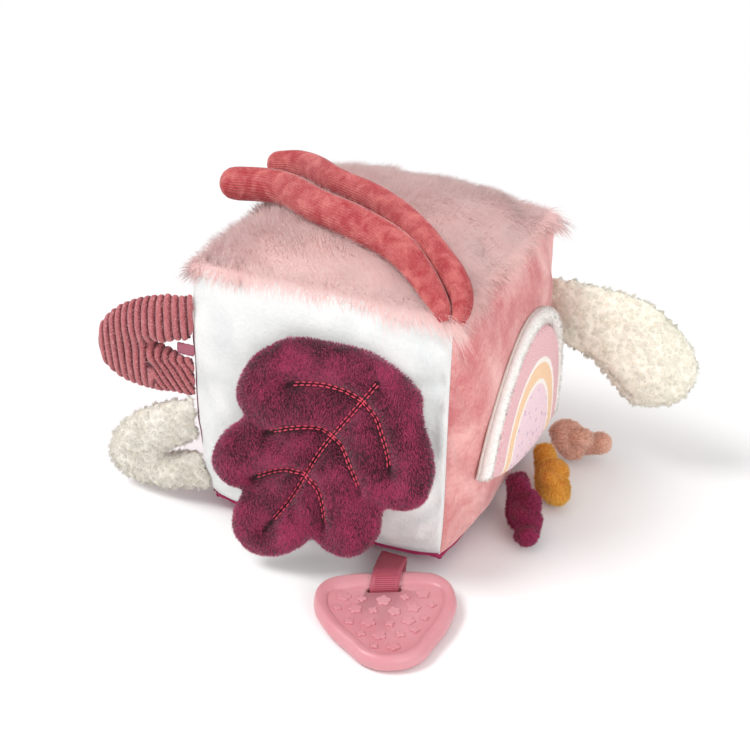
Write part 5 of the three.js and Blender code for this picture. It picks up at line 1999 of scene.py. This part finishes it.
def set_lamps():
    """A soft overhead lamp from the upper left, a fill from the right and an even white sky."""
    lamp("key", (-0.9, -0.7, 1.7), 0.8, 23.0, TARGET)
    lamp("fill", (1.4, -0.9, 0.7), 1.2, 11.0, TARGET)
    world = bpy.data.worlds.new("sky")
    bpy.context.scene.world = world
    world.use_nodes = True
    world.node_tree.nodes.clear()
    tree = Tree(world.node_tree)
    sky = tree.add("ShaderNodeBackground", Color=(1, 1, 1, 1), Strength=0.64).outputs[0]
    seen = tree.add("ShaderNodeBackground", Color=(1, 1, 1, 1), Strength=1.0).outputs[0]
    output = world.node_tree.nodes.new("ShaderNodeOutputWorld")
    tree.feed(output.inputs["Surface"], background_light(tree, sky, seen))


def set_camera(settings):
    """The camera at the photograph's viewing angle."""
    azimuth, elevation = settings.azimuth, settings.elevation
    level = math.cos(elevation)
    back = Vector((math.sin(azimuth) * level, -math.cos(azimuth) * level, math.sin(elevation)))
    right = Vector((math.cos(azimuth), math.sin(azimuth), 0))
    up = back.cross(right)
    turned_right = right * math.cos(settings.roll) + up * math.sin(settings.roll)
    turned_up = up * math.cos(settings.roll) - right * math.sin(settings.roll)
    data = bpy.data.cameras.new("camera")
    data.lens = settings.lens
    data.sensor_width = 36
    data.clip_start = 0.01
    camera = bpy.data.objects.new("camera", data)
    bpy.context.scene.collection.objects.link(camera)
    turn = Matrix((turned_right, turned_up, back)).transposed().to_4x4()
    camera.matrix_world = Matrix.Translation(TARGET + back * settings.distance) @ turn
    bpy.context.scene.camera = camera


# The add-on

SETTINGS = {
    "softblock_cover": SOFTBLOCK_PG_cover,
    "softblock_fur": SOFTBLOCK_PG_fur,
    "softblock_leaf": SOFTBLOCK_PG_leaf,
    "softblock_arch": SOFTBLOCK_PG_arch,
    "softblock_knots": SOFTBLOCK_PG_knots,
    "softblock_tubes": SOFTBLOCK_PG_tubes,
    "softblock_loops": SOFTBLOCK_PG_loops,
    "softblock_ear": SOFTBLOCK_PG_ear,
    "softblock_teether": SOFTBLOCK_PG_teether,
    "softblock_stage": SOFTBLOCK_PG_stage,
}
OPERATORS = (
    SOFTBLOCK_OT_cover,
    SOFTBLOCK_OT_leaf,
    SOFTBLOCK_OT_arch,
    SOFTBLOCK_OT_knots,
    SOFTBLOCK_OT_tubes,
    SOFTBLOCK_OT_loops,
    SOFTBLOCK_OT_ear,
    SOFTBLOCK_OT_teether,
    SOFTBLOCK_OT_inside,
    SOFTBLOCK_OT_stage,
)


class SOFTBLOCK_PT_pieces(bpy.types.Panel):
    """The pieces of the block, in the sidebar."""

    bl_idname = "SOFTBLOCK_PT_pieces"
    bl_label = "Soft activity block"
    bl_space_type = "VIEW_3D"
    bl_region_type = "UI"
    bl_category = "Soft block"

    def draw(self, context):
        for operator in OPERATORS:
            self.layout.operator(operator.bl_idname)


def register():
    for group in SETTINGS.values():
        bpy.utils.register_class(group)
    for operator in OPERATORS:
        bpy.utils.register_class(operator)
    bpy.utils.register_class(SOFTBLOCK_PT_pieces)
    for name, group in SETTINGS.items():
        setattr(bpy.types.Scene, name, PointerProperty(type=group))


def unregister():
    for name in SETTINGS:
        delattr(bpy.types.Scene, name)
    bpy.utils.unregister_class(SOFTBLOCK_PT_pieces)
    for operator in reversed(OPERATORS):
        bpy.utils.unregister_class(operator)
    for group in reversed(list(SETTINGS.values())):
        bpy.utils.unregister_class(group)


def main():
    register()
    bpy.ops.softblock.cover()
    bpy.ops.softblock.leaf()
    bpy.ops.softblock.arch()
    bpy.ops.softblock.knots()
    bpy.ops.softblock.tubes()
    bpy.ops.softblock.loops()
    bpy.ops.softblock.ear()
    bpy.ops.softblock.teether()
    bpy.ops.softblock.inside()
    bpy.ops.softblock.stage()


if __name__ == "__main__":
    main()
